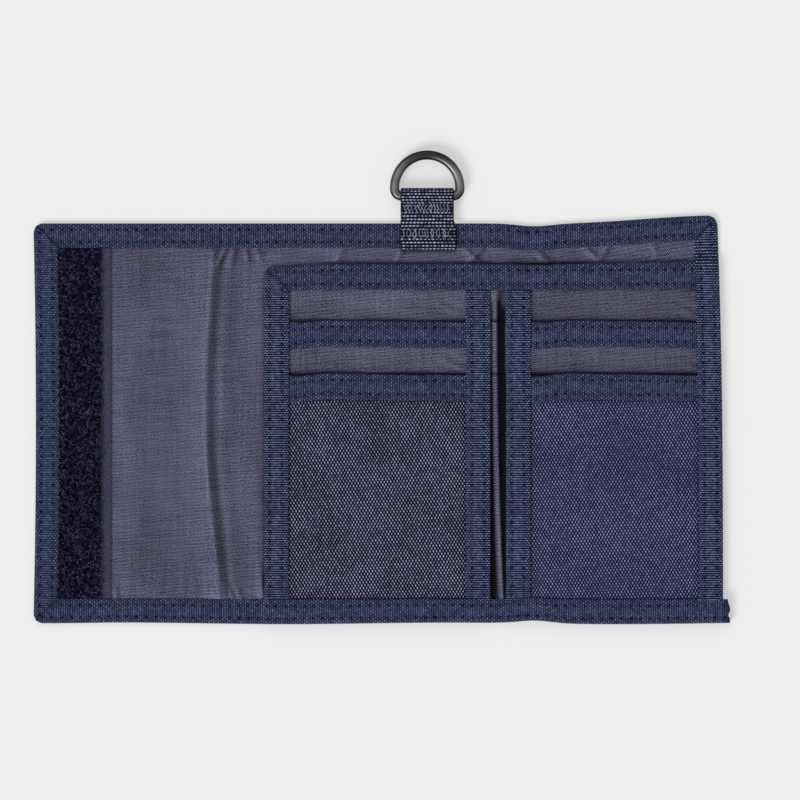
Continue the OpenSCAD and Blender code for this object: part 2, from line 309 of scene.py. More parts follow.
class Zone:
    """A stretch of the wallet's width, and the bodies and joint of the fold within it."""

    def __init__(self, name, start, end, bodies, joint, reach):
        self.name, self.start, self.end = name, start, end
        self.bodies, self.joint, self.reach = bodies, joint, reach

    def take(self, piece):
        low = (LEFT + (self.joint - self.reach) * MM, 0, 0)
        high = (LEFT + (self.joint + self.reach) * MM, 0, 0)
        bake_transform(piece)


FLAP_SPINE_MID = (FLAP_FOLD + MIDDLE_FOLD) / 2
LEAF_SPINE_MID = (LEAF_SPINE_FOLD + LEAF_FOLD) / 2
# Where the cloths are cut between the two folds, from the webbing's left edge
MIDDLE_CUT = 8.7
MIDDLE_SPLIT = WEBBING_LOW[0] + MIDDLE_CUT
ZONES = [
    Zone("flap", 0, FLAP_SPINE_MID, ("flap", "flap_spine"), FLAP_FOLD, BEND["flap"]),
    Zone("middle", FLAP_SPINE_MID, MIDDLE_SPLIT, ("flap_spine", "middle"), MIDDLE_FOLD, BEND["flap"]),
    Zone("leaf_fold", MIDDLE_SPLIT, LEAF_SPINE_MID, ("middle", "leaf_spine"), LEAF_SPINE_FOLD, BEND["leaf"]),
    Zone("leaf", LEAF_SPINE_MID, WIDTH, ("leaf_spine", "leaf"), LEAF_FOLD, BEND["leaf"]),
]


# ---- Materials ----

class Value:
    """A number in a material's nodes. Arithmetic on it adds Math nodes."""

    def __init__(self, shade, socket):
        self.shade, self.socket = shade, socket

    def op(self, operation, *others):
        node = self.shade.tree.nodes.new("ShaderNodeMath")
        node.operation = operation
        for i, value in enumerate((self, *others)):
            self.shade.join(value, node.inputs[i])
        return Value(self.shade, node.outputs[0])

    def __add__(self, other):
        return self.op("ADD", other)

    def __sub__(self, other):
        return self.op("SUBTRACT", other)

    def __mul__(self, other):
        return self.op("MULTIPLY", other)

    def sin(self):
        return self.op("SINE")

    def abs(self):
        return self.op("ABSOLUTE")

    def floor(self):
        return self.op("FLOOR")

    def power(self, other):
        return self.op("POWER", other)


def plain_material(name, settings):
    """A new material and its shader, with these settings."""
    material = bpy.data.materials.new(name)
    material.use_nodes = True
    shader = material.node_tree.nodes["Principled BSDF"]
    for key, value in settings.items():
        shader.inputs[key].default_value = value
    return material, shader


class Shade:
    """A material under construction, with its weave coordinates in millimetres."""

    def __init__(self, name, **settings):
        named = {key.replace("_", " "): value for key, value in settings.items()}
        self.material, self.shader = plain_material(name, named)
        self.tree = self.material.node_tree
        uv = self.tree.nodes.new("ShaderNodeUVMap")
        uv.uv_map = "weave"
        self.x, self.y, _ = self.split(uv.outputs[0])
        # The shade attribute, mostly painted shade: 1 in the open, lower where shade is painted
        dark = self.tree.nodes.new("ShaderNodeAttribute")
        dark.attribute_name = "shade"
        self.open = Value(self, dark.outputs["Fac"])

    def split(self, vector):
        """The three numbers of a vector socket."""
        node = self.tree.nodes.new("ShaderNodeSeparateXYZ")
        self.tree.links.new(vector, node.inputs[0])
        return [Value(self, output) for output in node.outputs]

    def join(self, value, socket):
        if isinstance(value, Value):
            self.tree.links.new(value.socket, socket)
        else:
            socket.default_value = value

    def vector(self, x, y, z=0.0):
        node = self.tree.nodes.new("ShaderNodeCombineXYZ")
        for value, socket in zip((x, y, z), node.inputs):
            self.join(value, socket)
        return Value(self, node.outputs[0])

    def noise(self, x, y, detail=2.0, seed=0.0):
        """Smooth noise from 0 to 1, at about 1 unit a blob."""
        node = self.tree.nodes.new("ShaderNodeTexNoise")
        self.join(self.vector(x, y, seed), node.inputs["Vector"])
        node.inputs["Scale"].default_value = 1.0
        node.inputs["Detail"].default_value = detail
        return Value(self, node.outputs[0])

    def random(self, x, y=0.0):
        """A random number from 0 to 1 for each pair of whole numbers."""
        node = self.tree.nodes.new("ShaderNodeTexWhiteNoise")
        self.join(self.vector(x, y), node.inputs["Vector"])
        return Value(self, node.outputs["Value"])

    def step(self, value, low, high):
        """0 below low, 1 above high, and smooth between."""
        node = self.tree.nodes.new("ShaderNodeMapRange")
        node.interpolation_type = "SMOOTHSTEP"
        for key, item in (("Value", value), ("From Min", low), ("From Max", high)):
            self.join(item, node.inputs[key])
        return Value(self, node.outputs[0])

    def mix(self, amount, low, high):
        """A colour from low to high, each a socket or red, green and blue."""
        node = self.tree.nodes.new("ShaderNodeMix")
        node.data_type = "RGBA"
        self.join(amount, node.inputs[0])
        for value, socket in ((low, node.inputs[6]), (high, node.inputs[7])):
            self.join(value if isinstance(value, Value) else (*value, 1.0), socket)
        return Value(self, node.outputs[2])

    def finish(self, colour, height=None, depth=0.1, roughness=None):
        """Sets the colour, darkened towards painted shade by the shade attribute in holes and folds, and a
        bump from height, depth millimetres high.
        """
        shown = self.mix(self.open, PAINTED_SHADE_COLOUR, colour)
        self.join(shown, self.shader.inputs["Base Color"])
        if roughness is not None:
            self.join(roughness, self.shader.inputs["Roughness"])
        if height is not None:
            bump = self.tree.nodes.new("ShaderNodeBump")
            bump.inputs["Strength"].default_value = 1.0
            bump.inputs["Distance"].default_value = depth * MM
            self.join(height, bump.inputs["Height"])
            self.tree.links.new(bump.outputs[0], self.shader.inputs["Normal"])
        return self.material


MATT = {"Sheen_Weight": 0.01, "Sheen_Roughness": 0.4}


def dyed(colour, factor):
    return tuple(c * factor for c in colour)


NAVY = (0.034, 0.042, 0.090)
# The colour of full painted shade, where the shade attribute is 0
PAINTED_SHADE_COLOUR = (0.0006, 0.0008, 0.002)
TURN = 2 * math.pi
DASH = 1.05
FACE_UV = 20


def tape_material(name, sharp, deep, rough, low, high, glint):
    """Grosgrain: cords across the tape, each bound down by fine yarns along it.

    Between the tape's two stitch rows the cords lie smooth, and outside them they are beaded. sharp
    and deep set how narrow and how dark the painted shade in the cords' valleys is, rough how patchy
    the wear is, and glint is the colour of the painted highlight on the brightest crowns.
    """
    s = Shade(name, Roughness=0.6, Specular_IOR_Level=0.05, **MATT)
    rib = (s.x * (math.pi / RIB)).sin().abs()
    number = (s.x * (1 / RIB)).floor()
    place = s.y * (1 / DASH) + number * 0.5
    dash = (place * TURN).op("COSINE") * -0.5 + 0.5
    outside = s.step((s.y - (FACE_UV + TAPE_W / 2)).abs(), 1.3, 2.2)
    bead = dash * (outside * 0.45 + 0.3) - outside * 0.3 + 0.65
    cell = s.random(number, place.floor())
    wear = s.noise(s.x * 0.12, s.y * 0.3, 3.0)
    fine = s.noise(s.x * 2.6, s.y * 2.6, 2.0)
    lightness = (wear * 0.6 + 0.7) * (fine * rough + (1 - rough / 2))
    # Painted shade in the cords' valleys
    cord = rib.power(sharp) * deep + (0.6 - 0.6 * deep)
    light = cord * bead * (cell * 0.5 + 0.75) * lightness
    colour = s.mix(light * 0.6, low, high)
    # Painted highlight: the brightest crowns turn towards the glint colour
    colour = s.mix(s.step(light, 0.6, 1.3) * 0.6, colour, glint)
    return s.finish(colour, dash * rib + cell * 0.5, 0.12)


def lining_material(name, tint, gloss, seed):
    """Thin satin lining: a fine twill with a few thicker weft yarns."""
    s = Shade(name, Roughness=0.38, Specular_IOR_Level=gloss, Sheen_Weight=0.01, Sheen_Roughness=0.35)
    twill = (s.x * (TURN / 0.72) + s.y * (TURN / 0.86)).sin() * 0.5
    cross = (s.x * (TURN / 0.76) - s.y * (TURN / 0.84)).sin() * 0.5
    waver = s.noise(s.x * 0.15, s.y * 0.3, 1.0, seed) * 4.0
    weft = (s.y * (TURN / 1.04) - s.x * (TURN / 9.8) + waver).sin() * 0.5
    slub = s.noise(s.x * 0.06, s.y * 1.5, 2.0, seed) - 0.5
    warp = s.noise(s.x * 1.1, s.y * 0.05, 2.0, seed + 3) - 0.5
    grain = s.noise(s.x * 2.1, s.y * 2.1, 1.0, seed) - 0.5
    cloud = s.noise(s.x * 0.05, s.y * 0.03, 2.0, seed + 5) - 0.5
    weave = twill * 1.2 + cross * 0.6 + weft * 0.45
    light = weave + grain * 2.6 + slub * 1.0 + warp * 0.7 + cloud * 0.8 + 0.5
    colour = s.mix(light, dyed(tint, 0.2), dyed(tint, 1.8))
    return s.finish(colour, twill * 0.6 + weft + slub * 2.0, 0.04)


def canvas_material(name, low, high):
    """Plain weave of thick yarns, with painted highlight on the crowns and painted shade between them."""
    s = Shade(name, Roughness=0.6, Specular_IOR_Level=0.05, **MATT)
    x, y = s.x + s.y * WEAVE_TURN, s.y - s.x * WEAVE_TURN
    row = (y * (2 / WEAVE_V) + 0.5).floor()
    up = y - row * (WEAVE_V / 2)
    across = (x + up * WEAVE_LEAN) * (1 / WEAVE_U) + row * 0.5
    crown = (across * TURN).op("COSINE") * (up * (TURN / WEAVE_V)).op("COSINE")
    yarn = s.random((across + 0.5).floor(), row)
    fibre = s.noise(s.x * 3.0, s.y * 7.0, 2.0)
    cloud = s.noise(s.x * 0.05, s.y * 0.05, 2.0)
    light = s.step(crown, -0.1, 0.95) * (yarn * 0.6 + 0.5) * (fibre * 0.8 + 0.6) * (cloud * 0.9 + 0.55)
    colour = s.mix(light, low, high)
    return s.finish(colour, fibre + crown * 0.3, 0.08)


def outer_material():
    """Dense nylon cloth, woven plain."""
    s = Shade("outer_cloth", Roughness=0.6, Specular_IOR_Level=0.12, Sheen_Weight=0.02, Sheen_Roughness=0.4)
    weave = (s.x * (TURN / 0.9)).sin() * (s.y * (TURN / 0.7)).sin()
    yarn = s.random((s.x * (2 / 0.9)).floor(), (s.y * (2 / 0.7)).floor())
    cloud = s.noise(s.x * 0.06, s.y * 0.06, 3.0)
    light = (weave * 0.35 + 0.5) * (yarn * 0.4 + 0.7) * (cloud * 0.3 + 0.85)
    colour = s.mix(light, dyed(NAVY, 0.35), dyed(NAVY, 1.9))
    return s.finish(colour, weave * 0.5 + yarn * 0.3, 0.1)


def pile_material():
    """Brushed loops, nearly black between the fibres."""
    s = Shade("loop_pile", Roughness=0.7, Specular_IOR_Level=0.08, **MATT)
    bright = s.random(s.x.floor()).power(4.2)
    colour = s.mix(bright, (0.001, 0.001, 0.009), (0.185, 0.178, 0.385))
    return s.finish(colour, s.noise(s.x * 3.0, s.y * 4.0), 0.05)


def base_material(name, low, high):
    """The woven ground of the hook tape."""
    s = Shade(name, Roughness=0.8, Specular_IOR_Level=0.06, **MATT)
    weave = (s.x * (TURN / 0.6)).sin() * (s.y * (TURN / 0.6)).sin()
    light = (weave * 0.4 + 0.5) * (s.noise(s.x * 1.5, s.y * 1.5, 3.0) * 0.8 + 0.5)
    return s.finish(s.mix(light, low, high), weave, 0.12)


def loop_base_material():
    """The ground of the loop tape: nearly black with painted shade under the pile, with a plum selvage."""
    s = Shade("loop_base", Roughness=0.8, Specular_IOR_Level=0.06, **MATT)
    weave = (s.x * (TURN / 0.7)).sin() * (s.y * (TURN / 0.9)).sin()
    grain = s.noise(s.x * 1.5, s.y * 1.2, 2.0)
    light = (weave * 0.4 + 0.5) * (grain * 1.2 + 0.3)
    selvage = s.mix(light, (0.010, 0.010, 0.026), (0.120, 0.112, 0.200))
    # Painted shade: the ground under the pile is nearly black
    ground = s.mix(light, (0.0, 0.0, 0.004), (0.003, 0.003, 0.016))
    edge = s.step(s.x + grain * 1.6, SELVAGE - 0.6, SELVAGE + 1.8)
    return s.finish(s.mix(edge, ground, selvage), weave, 0.12)


def webbing_material():
    """Heavy webbing: rows of long yarn crowns, with painted highlight on their tops and painted shade between
    the rows.
    """
    s = Shade("webbing", Roughness=0.5, Specular_IOR_Level=0.06, **MATT)
    row = (s.y * (math.pi / WEB_ROW)).sin().abs()
    number = (s.y * (1 / WEB_ROW)).floor()
    place = s.x * (1 / WEB_BLOB) + (number * WEB_SHIFT).sin() * 0.5
    blob = (place * math.pi).sin().abs()
    yarn = s.random(place.floor(), number)
    fibre = s.noise(s.x * 5.0, s.y * 3.0, 2.0)
    light = row.power(6.5) * blob.power(1.6) * (yarn * 1.3 + 0.35) * (fibre * 1.2 + 0.4)
    colour = s.mix(light, (0.0, 0.0, 0.010), (0.44, 0.465, 0.68))
    return s.finish(colour, fibre, 0.08)


def thread_material(name, low, high):
    """Twisted sewing thread: each stitch a little lighter or darker than the next."""
    s = Shade(name, Roughness=0.55, Specular_IOR_Level=0.12, **MATT)
    twist = (s.y * (TURN / 0.3) + s.x * TURN).sin() * 0.5 + 0.5
    light = twist * 0.5 + s.random(s.x.floor()) * 0.6
    return s.finish(s.mix(light, low, high), twist, 0.05)


def metal_material():
    """Gunmetal wire, brushed along its length and lighter down its legs, with painted highlight on its faces
    and painted shade by the webbing.
    """
    s = Shade("gunmetal", Metallic=1.0)
    place = s.tree.nodes.new("ShaderNodeTexCoord")
    x, y, z = s.split(place.outputs["Object"])
    # Painted highlight: the wire is lighter where it faces up or down, and darker at its sides
    face = s.step(s.split(place.outputs["Normal"])[2].abs(), 0.45, 1.0)
    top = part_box("d_ring")[1].y
    down = y * -1.0
    # Painted shade low on the legs, near the webbing
    under_webbing = s.step(down, 11.5 * MM - top, 15 * MM - top)
    lightness = s.step(down, 1 * MM - top, 9 * MM - top) - under_webbing * 0.7
    brush = s.noise(x * 900, y * 225, 4.0, z * 2700)
    patch = s.noise(x * 160, y * 160, 3.0, z * 160)
    light = face * (patch * 1.4 + 0.3)
    dull = s.mix(light, (0.004, 0.003, 0.004), (0.040, 0.036, 0.039))
    bright = s.mix(light, (0.026, 0.025, 0.027), (0.285, 0.285, 0.297))
    s.open = 1.0
    return s.finish(s.mix(lightness, dull, bright), brush, 0.03, brush * 0.27 + 0.28)


# The upright tapes get their own copy of the tape, with brighter crowns, darker valleys and more glint:
# painted light and shade for the light that falls across their cords
TAPE = tape_material("tape", 1.6, 0.7, 3.0, (0.0, 0.002, 0.022), (0.118, 0.141, 0.282), (0.24, 0.27, 0.37))
UPRIGHT_TAPE = tape_material("upright_tape", 4.6, 1.0, 1.8, (0.0, 0.001, 0.016), (0.232, 0.280, 0.545),
                             (0.45, 0.52, 0.64))
LINING = lining_material("lining", (0.101, 0.103, 0.174), 0.12, 1.0)
POCKET_LINING = lining_material("pocket_lining", (0.102, 0.101, 0.160), 0.05, 9.0)
CANVAS_LEFT = canvas_material("canvas_left", (0.0, 0.0004, 0.012), (0.325, 0.325, 0.50))
CANVAS_RIGHT = canvas_material("canvas_right", (0.007, 0.008, 0.040), (0.235, 0.24, 0.42))
OUTER = outer_material()
PILE = pile_material()
LOOP_BASE = loop_base_material()
HOOK_BASE = base_material("hook_base", (0.006, 0.007, 0.018), (0.035, 0.038, 0.07))
WEBBING = webbing_material()
THREAD = thread_material("thread", dyed(NAVY, 0.35), dyed(NAVY, 1.9))
# The bar tacks' thread is a copy of the sewing thread with lighter colours: painted highlight on its threads
TACK_THREAD = thread_material("tack_thread", (0.040, 0.046, 0.130), (0.44, 0.46, 0.68))
METAL = metal_material()


# ---- Cloths ----

def declare(piece, where, nodes):
    """Rides a piece on its body, or bakes its place into its mesh for a zone, and hides the CAD nodes that it
    stands for.
    """
    if isinstance(where, Zone):
        where.take(piece)
    else:
        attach(piece, where)
    if nodes:
        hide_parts(*nodes)
    return piece


def cloth(name, us, vs, lift, thickness, step, material, where, nodes, shape=None, shade=None):
    """A cloth over us by vs, whose underside is at height lift(u, v)."""
    rows = close_ends(np.linspace(*us, max(3, round((us[1] - us[0]) / step[0]) + 1)))
    columns = close_ends(np.linspace(*vs, max(3, round((vs[1] - vs[0]) / step[1]) + 1)))
    u, v = np.meshgrid(rows, columns, indexing="ij")
    z = lift(u, v)
    pu, pv = shape(u, v) if shape else (u, v)
    thick = thickness(u, v) if callable(thickness) else thickness
    top = np.stack([pu, pv, z + thick], 2)
    bottom = np.stack([pu, pv, z], 2)
    dark = shade(u, v) if shade else None
    piece = make_slab(name, top, bottom, np.stack([u, v], 2), material, shade=dark)
    declare(piece, where, nodes)
    flat = ((us[1] - us[0]) * MM, (vs[1] - vs[0]) * MM)
    return piece


def flat_lift(height):
    return lambda u, v: height + 0 * u


def between_tapes(u, v, low, high, reach):
    """1 in the open between two edges across v, 0 under the tapes at those edges."""
    return smooth(low, low + reach, v) * (1 - smooth(high - reach, high, v))


FLAP_WAVES = Waves(1, (38, 19), turn=(-0.35, 0.35))
FINE_WAVES = Waves(2, (11, 6))
BAND_WAVES = Waves(4, (26, 11), turn=(-0.5, 0.5))


def pleats(u, v, lines):
    """Small sharp pleats, each along a line from (u, v) to (u, v), with a half width and a height."""
    lift = 0 * u
    for start, end, width, height in lines:
        along = np.array(end) - np.array(start)
        length = np.hypot(*along)
        along = along / length
        t = ((u - start[0]) * along[0] + (v - start[1]) * along[1]) / length
        side = (v - start[1]) * along[0] - (u - start[0]) * along[1]
        fade = smooth(-0.25, 0.2, t) * (1 - smooth(0.5, 1.25, t))
        lift = lift + height * fade * np.exp(-(side / width) ** 2)
    return lift


def crease(v):
    """Where the flap's crease runs, from the left edge."""
    return FLAP_FOLD + 1.1 + 2.4 * smooth(80, 125, v) + 4.6 * smooth(62, 0, v)


FLAP_PLEATS = [
    ((26.3, 6.5), (25.6, 13.0), 0.5, 0.5),
    ((61.6, 122.0), (58.6, 114.5), 0.8, 0.75),
    ((64.2, 122.0), (62.6, 113.5), 1.0, 0.5),
    ((67.6, 122.0), (68.6, 116.0), 0.7, 0.6),
    ((70.5, 122.0), (73.0, 116.5), 0.9, 0.35),
    ((62.0, 6.5), (60.6, 14.0), 0.9, 0.45),
    ((64.0, 6.5), (62.2, 12.5), 0.6, 0.6),
    ((66.6, 6.5), (64.8, 12.5), 0.6, 0.5),
    ((73.6, 6.5), (72.4, 18.0), 0.8, 0.8),
]
STRIP_PLEATS = [
    ((99.0, 122.0), (97.0, 115.5), 1.1, 0.4),
    ((118.5, 121.0), (116.0, 116.0), 0.9, 0.4),
    ((137.5, 121.5), (143.5, 116.0), 0.8, 0.7),
    ((144.0, 121.0), (139.0, 115.5), 0.8, 0.6),
    ((161.0, 121.5), (166.0, 116.0), 0.9, 0.6),
    ((176.0, 122.0), (182.0, 116.5), 0.8, 0.8),
    ((186.0, 123.0), (181.5, 116.5), 0.9, 0.6),
    ((198.0, 124.0), (201.5, 117.0), 1.0, 0.4),
]


def lining_lift(u, v):
    """Height of the lining's underside: soft waves, the flap's crease, and pleats at the tapes."""
    open_v = between_tapes(u, v, TAPE_W - 1, HEIGHT - TAPE_W + 1, 5)
    open_u = smooth(STRIP_RIGHT - 0.5, STRIP_RIGHT + 11, u)
    flap = open_u * (1 - smooth(PANEL_LEFT - 2, PANEL_LEFT + 4, u))
    waves = flap * open_v * (0.34 * FLAP_WAVES(u, v) + 0.06 * FINE_WAVES(u, v) + 0.36)
    line = u - crease(v)
    before = 0.6 * bell(line, 0, 3.8) + 0.75 * bell(line, 0, 0.9)
    ridge = np.where(line < 0, before, 1.35 * bell(line, 0, 1.5))
    second = 0.5 * np.exp(-np.where(line < 5, (line - 5) / 1.3, (line - 5) / 3.4) ** 2)
    crease_open = between_tapes(u, v, TAPE_W - 0.8, HEIGHT - TAPE_W + 0.8, 2.4)
    folds = crease_open * (ridge + second + pleats(u, v, FLAP_PLEATS))
    strip = smooth(PANEL_TOP, PANEL_TOP + 2, v) * smooth(PANEL_LEFT, PANEL_LEFT + 6, u)
    strip = strip * (1 - smooth(HEIGHT - TAPE_W - 1.4, HEIGHT - TAPE_W + 0.8, v))
    top_waves = strip * (0.3 + 0.26 * BAND_WAVES(u, v) + pleats(u, v, STRIP_PLEATS))
    return LINING_Z + np.clip(waves + folds + top_waves, 0, 2.1)


# Shade value of the open lining and pocket cloth, below 1 so that painted highlights along the flap's crease
# and on the gap's ridge can be lighter
LINING_SHADE_LEVEL = 0.72
POCKET_SHADE_LEVEL = 0.87


def lining_shade(u, v):
    """Painted shade beside and above the card panel, beside the loop strip and under the webbing's end, and a
    painted highlight along the flap's crease and on its pleats, with painted shade beside them.
    """
    over_panel = smooth(PANEL_LEFT + 7, PANEL_LEFT + 26, u) * (1 - 0.6 * smooth(WIDTH - 50, WIDTH - 25, u))
    edge = np.exp(-np.clip(v - PANEL_TOP + 0.2, 0, None) / 1.0)
    near = np.exp(-np.clip(v - PANEL_TOP + 0.2, 0, None) / 4.5)
    deep = bell(u, 163, 16) * np.exp(-np.clip(v - PANEL_TOP, 0, None) / 3.2)
    dark = over_panel * (0.75 * edge + 0.3 * near + 0.45 * deep) * (v > PANEL_TOP - 4)
    beside = 0.75 * np.exp(-np.clip(PANEL_LEFT + 0.1 - u, 0, None) / 0.7)
    beside = beside * (1 - smooth(PANEL_TOP - 7, PANEL_TOP - 2, v))
    line = u - crease(v)
    band = 0.44 * bell(line, 2.3, 1.5) - 0.6 * bell(line, -0.4, 0.5) - 0.15 * bell(line, -1.5, 2.5)
    band = band - 0.14 * bell(line, 4.6, 0.8) + 0.08 * bell(line, 7.6, 2.2)
    band = band - 0.1 * smooth(3, 12, line) * (v < PANEL_TOP) - 0.2 * over_panel
    small = [(FLAP_PLEATS, u < PANEL_LEFT), (STRIP_PLEATS, v > PANEL_TOP)]
    for lines, where in small:
        band = band + where * (0.9 * pleats(u - 1.1, v, lines) - 0.9 * pleats(u, v, lines))
    strip = (0.5 + 0.3 * np.sin(v * TURN / 1.1)) * bell(u, STRIP_RIGHT + 0.2, 0.45)
    under = (u > WEBBING_LOW[0]) * (u < WEBBING_HIGH[0] + 0.5)
    foot = under * 0.8 * np.exp(-np.clip(WEBBING_LOW[1] - v, 0, None) / 0.6)
    return (1 - np.clip(dark + beside + band + strip + foot, -0.38, 0.97)) * LINING_SHADE_LEVEL


def zone_nodes(prefix):
    """The CAD nodes of a cloth or tape that runs from edge to edge, for each zone."""
    ends = {"flap": ["flap"], "middle": ["flap_fold", "middle"], "leaf_fold": ["leaf_fold"], "leaf": ["leaf"]}
    return {zone: [f"{prefix}_{end}" for end in names] for zone, names in ends.items()}


def whole_cloth(name, prefix, zone, lift, thickness, step, material, shade=None):
    """One zone of a cloth that runs from edge to edge."""
    us = (max(zone.start, HEM), min(zone.end, WIDTH - HEM))
    cloth(f"{name}_{zone.name}", us, (HEM, HEIGHT - HEM), lift, thickness, step, material, zone,
          zone_nodes(prefix)[zone.name], shade=shade)


def shell():
    for zone in ZONES:
        whole_cloth("outer_cloth", "shell", zone, flat_lift(OUTER_Z), OUTER_T, (0.9, 1.6), OUTER)


def lining():
    for zone in ZONES:
        step = (0.45, 0.7) if zone.start < PANEL_LEFT else (0.7, 0.6)
        whole_cloth("lining_cloth", "lining", zone, lining_lift, LINING_T, step, LINING,
                    lining_shade)


def panel_corner(u, v):
    """Rounds the card panel's top left corner."""
    a = np.clip(PANEL_LEFT + PANEL_CORNER_R - u, 0, None)
    b = np.clip(v - (PANEL_TOP - PANEL_CORNER_R), 0, None)
    shrink = corner_shrink(a, b, (a > 0) & (b > 0))
    return u + a * (1 - shrink), v - b * (1 - shrink)


def gap_ridge(u, v):
    """How the pocket cloths stand up in the gap between the columns: 0 outside the gap."""
    mouth = PANEL_TOP - LIP_W
    centre = LEAF_SPINE_FOLD + 1.6 + 2.6 * ((PANEL_TOP - v) / PANEL_TOP) ** 2.5
    inside = smooth(LEAF_SPINE_FOLD - 0.4, LEAF_SPINE_FOLD + 0.3, u)
    inside = inside * (1 - smooth(LEAF_FOLD - 0.3, LEAF_FOLD + 0.4, u))
    side = (u - centre) / (1 + 1.3 * smooth(mouth - 5, mouth - 1, v))
    open_v = between_tapes(u, v, TAPE_W - 1.2, mouth + 1.2, 2.2)
    return inside, np.exp(-np.where(side < 0, side / 1.2, side / 0.5) ** 2) * inside * open_v


def pocket_shade(u, v, mouth):
    """Painted shade above the next pocket's mouth and in the gap, with painted light on the gap's ridge and
    on its slope by the right column, and a little darker right of the leaf's fold.
    """
    inside, ridge = gap_ridge(u, v)
    slope = 0.6 * smooth(LEAF_FOLD - 2.2, LEAF_FOLD - 0.8, u) * smooth(INNER_TOP + 2, INNER_TOP + 7, v)
    gap = np.clip(ridge * 1.7 - 0.12 + slope, 0.02, 1) * (1 - 0.8 * bell(v, mouth, 0.5))
    side = 1 - 0.14 * (u > LEAF_FOLD)
    return inside * gap + (1 - inside) * mouth_shade(u, v, mouth) * side * POCKET_SHADE_LEVEL


def mouth_wrinkles(u, v, mouth, top):
    """Waves of a pocket's cloth below its tape, and the pull lines at its corners above the next mouth."""
    lift = 0.2 * BAND_WAVES(u, v + 3 * mouth)
    for corner in (PANEL_LEFT + TAPE_W, COLUMN_RIGHT[1]):
        near = np.exp(-np.hypot((u - corner) / 6.5, (v - mouth - 1.5) / 3.0) ** 2)
        lift = lift + 0.16 * near * np.sin((u * 0.75 - (v - mouth)) * TURN / 1.9)
        far = np.exp(-np.hypot((u - corner - 53) / 5, (v - mouth - 3) / 4.0) ** 2)
        lift = lift + 0.3 * far * np.sin((u * 0.45 + (v - mouth)) * TURN / 4.2)
    return np.clip(lift, -0.3, 0.6) * between_tapes(u, v, mouth - 2, top - LIP_W + 0.5, 3)


def mouth_shade(u, v, mouth):
    """Painted shade just above the mouth of the next pocket, where the cloth goes down behind its tape."""
    up = np.clip(v - mouth - 0.1, 0, None)
    strong = 0.85 if mouth == FRONT_TOP else 0.6
    return 1 - np.clip(strong * np.exp(-up / 0.6) + 0.28 * np.exp(-up / 4.0), 0, 0.95)


def panel_lift(u, v):
    inside, ridge = gap_ridge(u, v)
    rest = PANEL_Z + mouth_wrinkles(u, v, INNER_TOP, PANEL_TOP)
    return rest * (1 - inside) + (PRESSED_Z[0] + 0.05) * inside + 1.6 * ridge


def inner_lift(u, v):
    inside, ridge = gap_ridge(u, v)
    rest = INNER_Z + mouth_wrinkles(u, v, FRONT_TOP, INNER_TOP)
    return rest * (1 - inside) + (PRESSED_Z[1] + 0.15) * inside + 1.6 * ridge


PANEL_RIDES = {"left": "middle", "fold": ZONES[2], "right": ZONES[3]}


def panel_spans(left, right):
    """The three stretches of a cloth or tape that crosses the leaf's fold."""
    return {"left": (left, MIDDLE_SPLIT), "fold": (MIDDLE_SPLIT, LEAF_SPINE_MID),
            "right": (LEAF_SPINE_MID, right)}


def card_panel():
    """The card panel and the inner pockets: one cloth each across the leaf's fold."""
    for side, us in panel_spans(PANEL_LEFT + HEM, WIDTH - HEM).items():
        step = (0.6, 0.45) if side == "left" else (0.3, 0.45)
        cloth("panel_cloth_" + side, us, (HEM, PANEL_TOP - HEM), panel_lift, LINING_T, step, POCKET_LINING,
              PANEL_RIDES[side], ["card_panel_" + side], shape=panel_corner,
              shade=lambda u, v: pocket_shade(u, v, INNER_TOP))
        cloth("inner_pocket_cloth_" + side, us, (HEM, INNER_TOP - HEM), inner_lift, LINING_T, step,
              POCKET_LINING, PANEL_RIDES[side], ["inner_pocket_" + side],
              shade=lambda u, v: pocket_shade(u, v, FRONT_TOP))


def canvas_thickness(u, v):
    u, v = u + v * WEAVE_TURN, v - u * WEAVE_TURN
    row = np.floor(v * 2 / WEAVE_V + 0.5)
    up = v - row * WEAVE_V / 2
    crown = np.cos(((u + up * WEAVE_LEAN) / WEAVE_U + row * 0.5) * TURN) * np.cos(up * TURN / WEAVE_V)
    return CANVAS_T - WEAVE_H + WEAVE_H * (0.5 + 0.5 * crown)


def canvas_shade(u, v):
    """Painted shade where the tapes stand over the canvas."""
    sides = [(PANEL_LEFT + TAPE_W, COLUMN_LEFT[0]), (COLUMN_RIGHT[1], WIDTH - TAPE_W)]
    edge = min(sides, key=lambda ends: abs(sum(ends) / 2 - u.mean()))
    reach = np.minimum.reduce([u - edge[0], edge[1] - u, FRONT_TOP - LIP_W - v, v - TAPE_W])
    return 1 - 0.6 * np.exp(-np.clip(reach, 0, None) / 0.6)


def front_pockets():
    step = (WEAVE_U / 4, WEAVE_V / 5)
    for side, material, body in (("left", CANVAS_LEFT, "middle"), ("right", CANVAS_RIGHT, "leaf")):
        low, high = span("front_pocket_" + side)
        cloth("canvas_pocket_" + side, (low[0], high[0]), (low[1], high[1]), flat_lift(FRONT_Z),
              canvas_thickness, step, material, body, ["front_pocket_" + side],
              shade=canvas_shade)


# ---- Tapes ----

def stitch_holes(s, d, rows):
    """How near a place on a tape is to a stitch row, and to a needle hole in it, from 0 to 1."""
    row_near = sum(bell(d, row, 0.42) for row in rows) if rows else 0 * s
    return row_near, row_near * bell(fold_back(s + 0.25 * np.sin(s * 2.3 + d), STITCH), 0, 0.36)


def tape_relief(s, d, width, rows, rib_height):
    """Depth of a tape's surface below its crowns: the valleys, stitch rows and needle holes."""
    row_near, hole = stitch_holes(s, d, rows)
    valley = 1 - np.abs(np.sin(s * math.pi / RIB)) ** 0.8
    depth = rib_height * valley + 0.12 * row_near + 0.36 * hole
    depth = depth + 0.12 * smooth(width - 0.7, width, d)
    return depth - 0.1 * np.sin(np.clip(d / width, 0, 1) * math.pi)


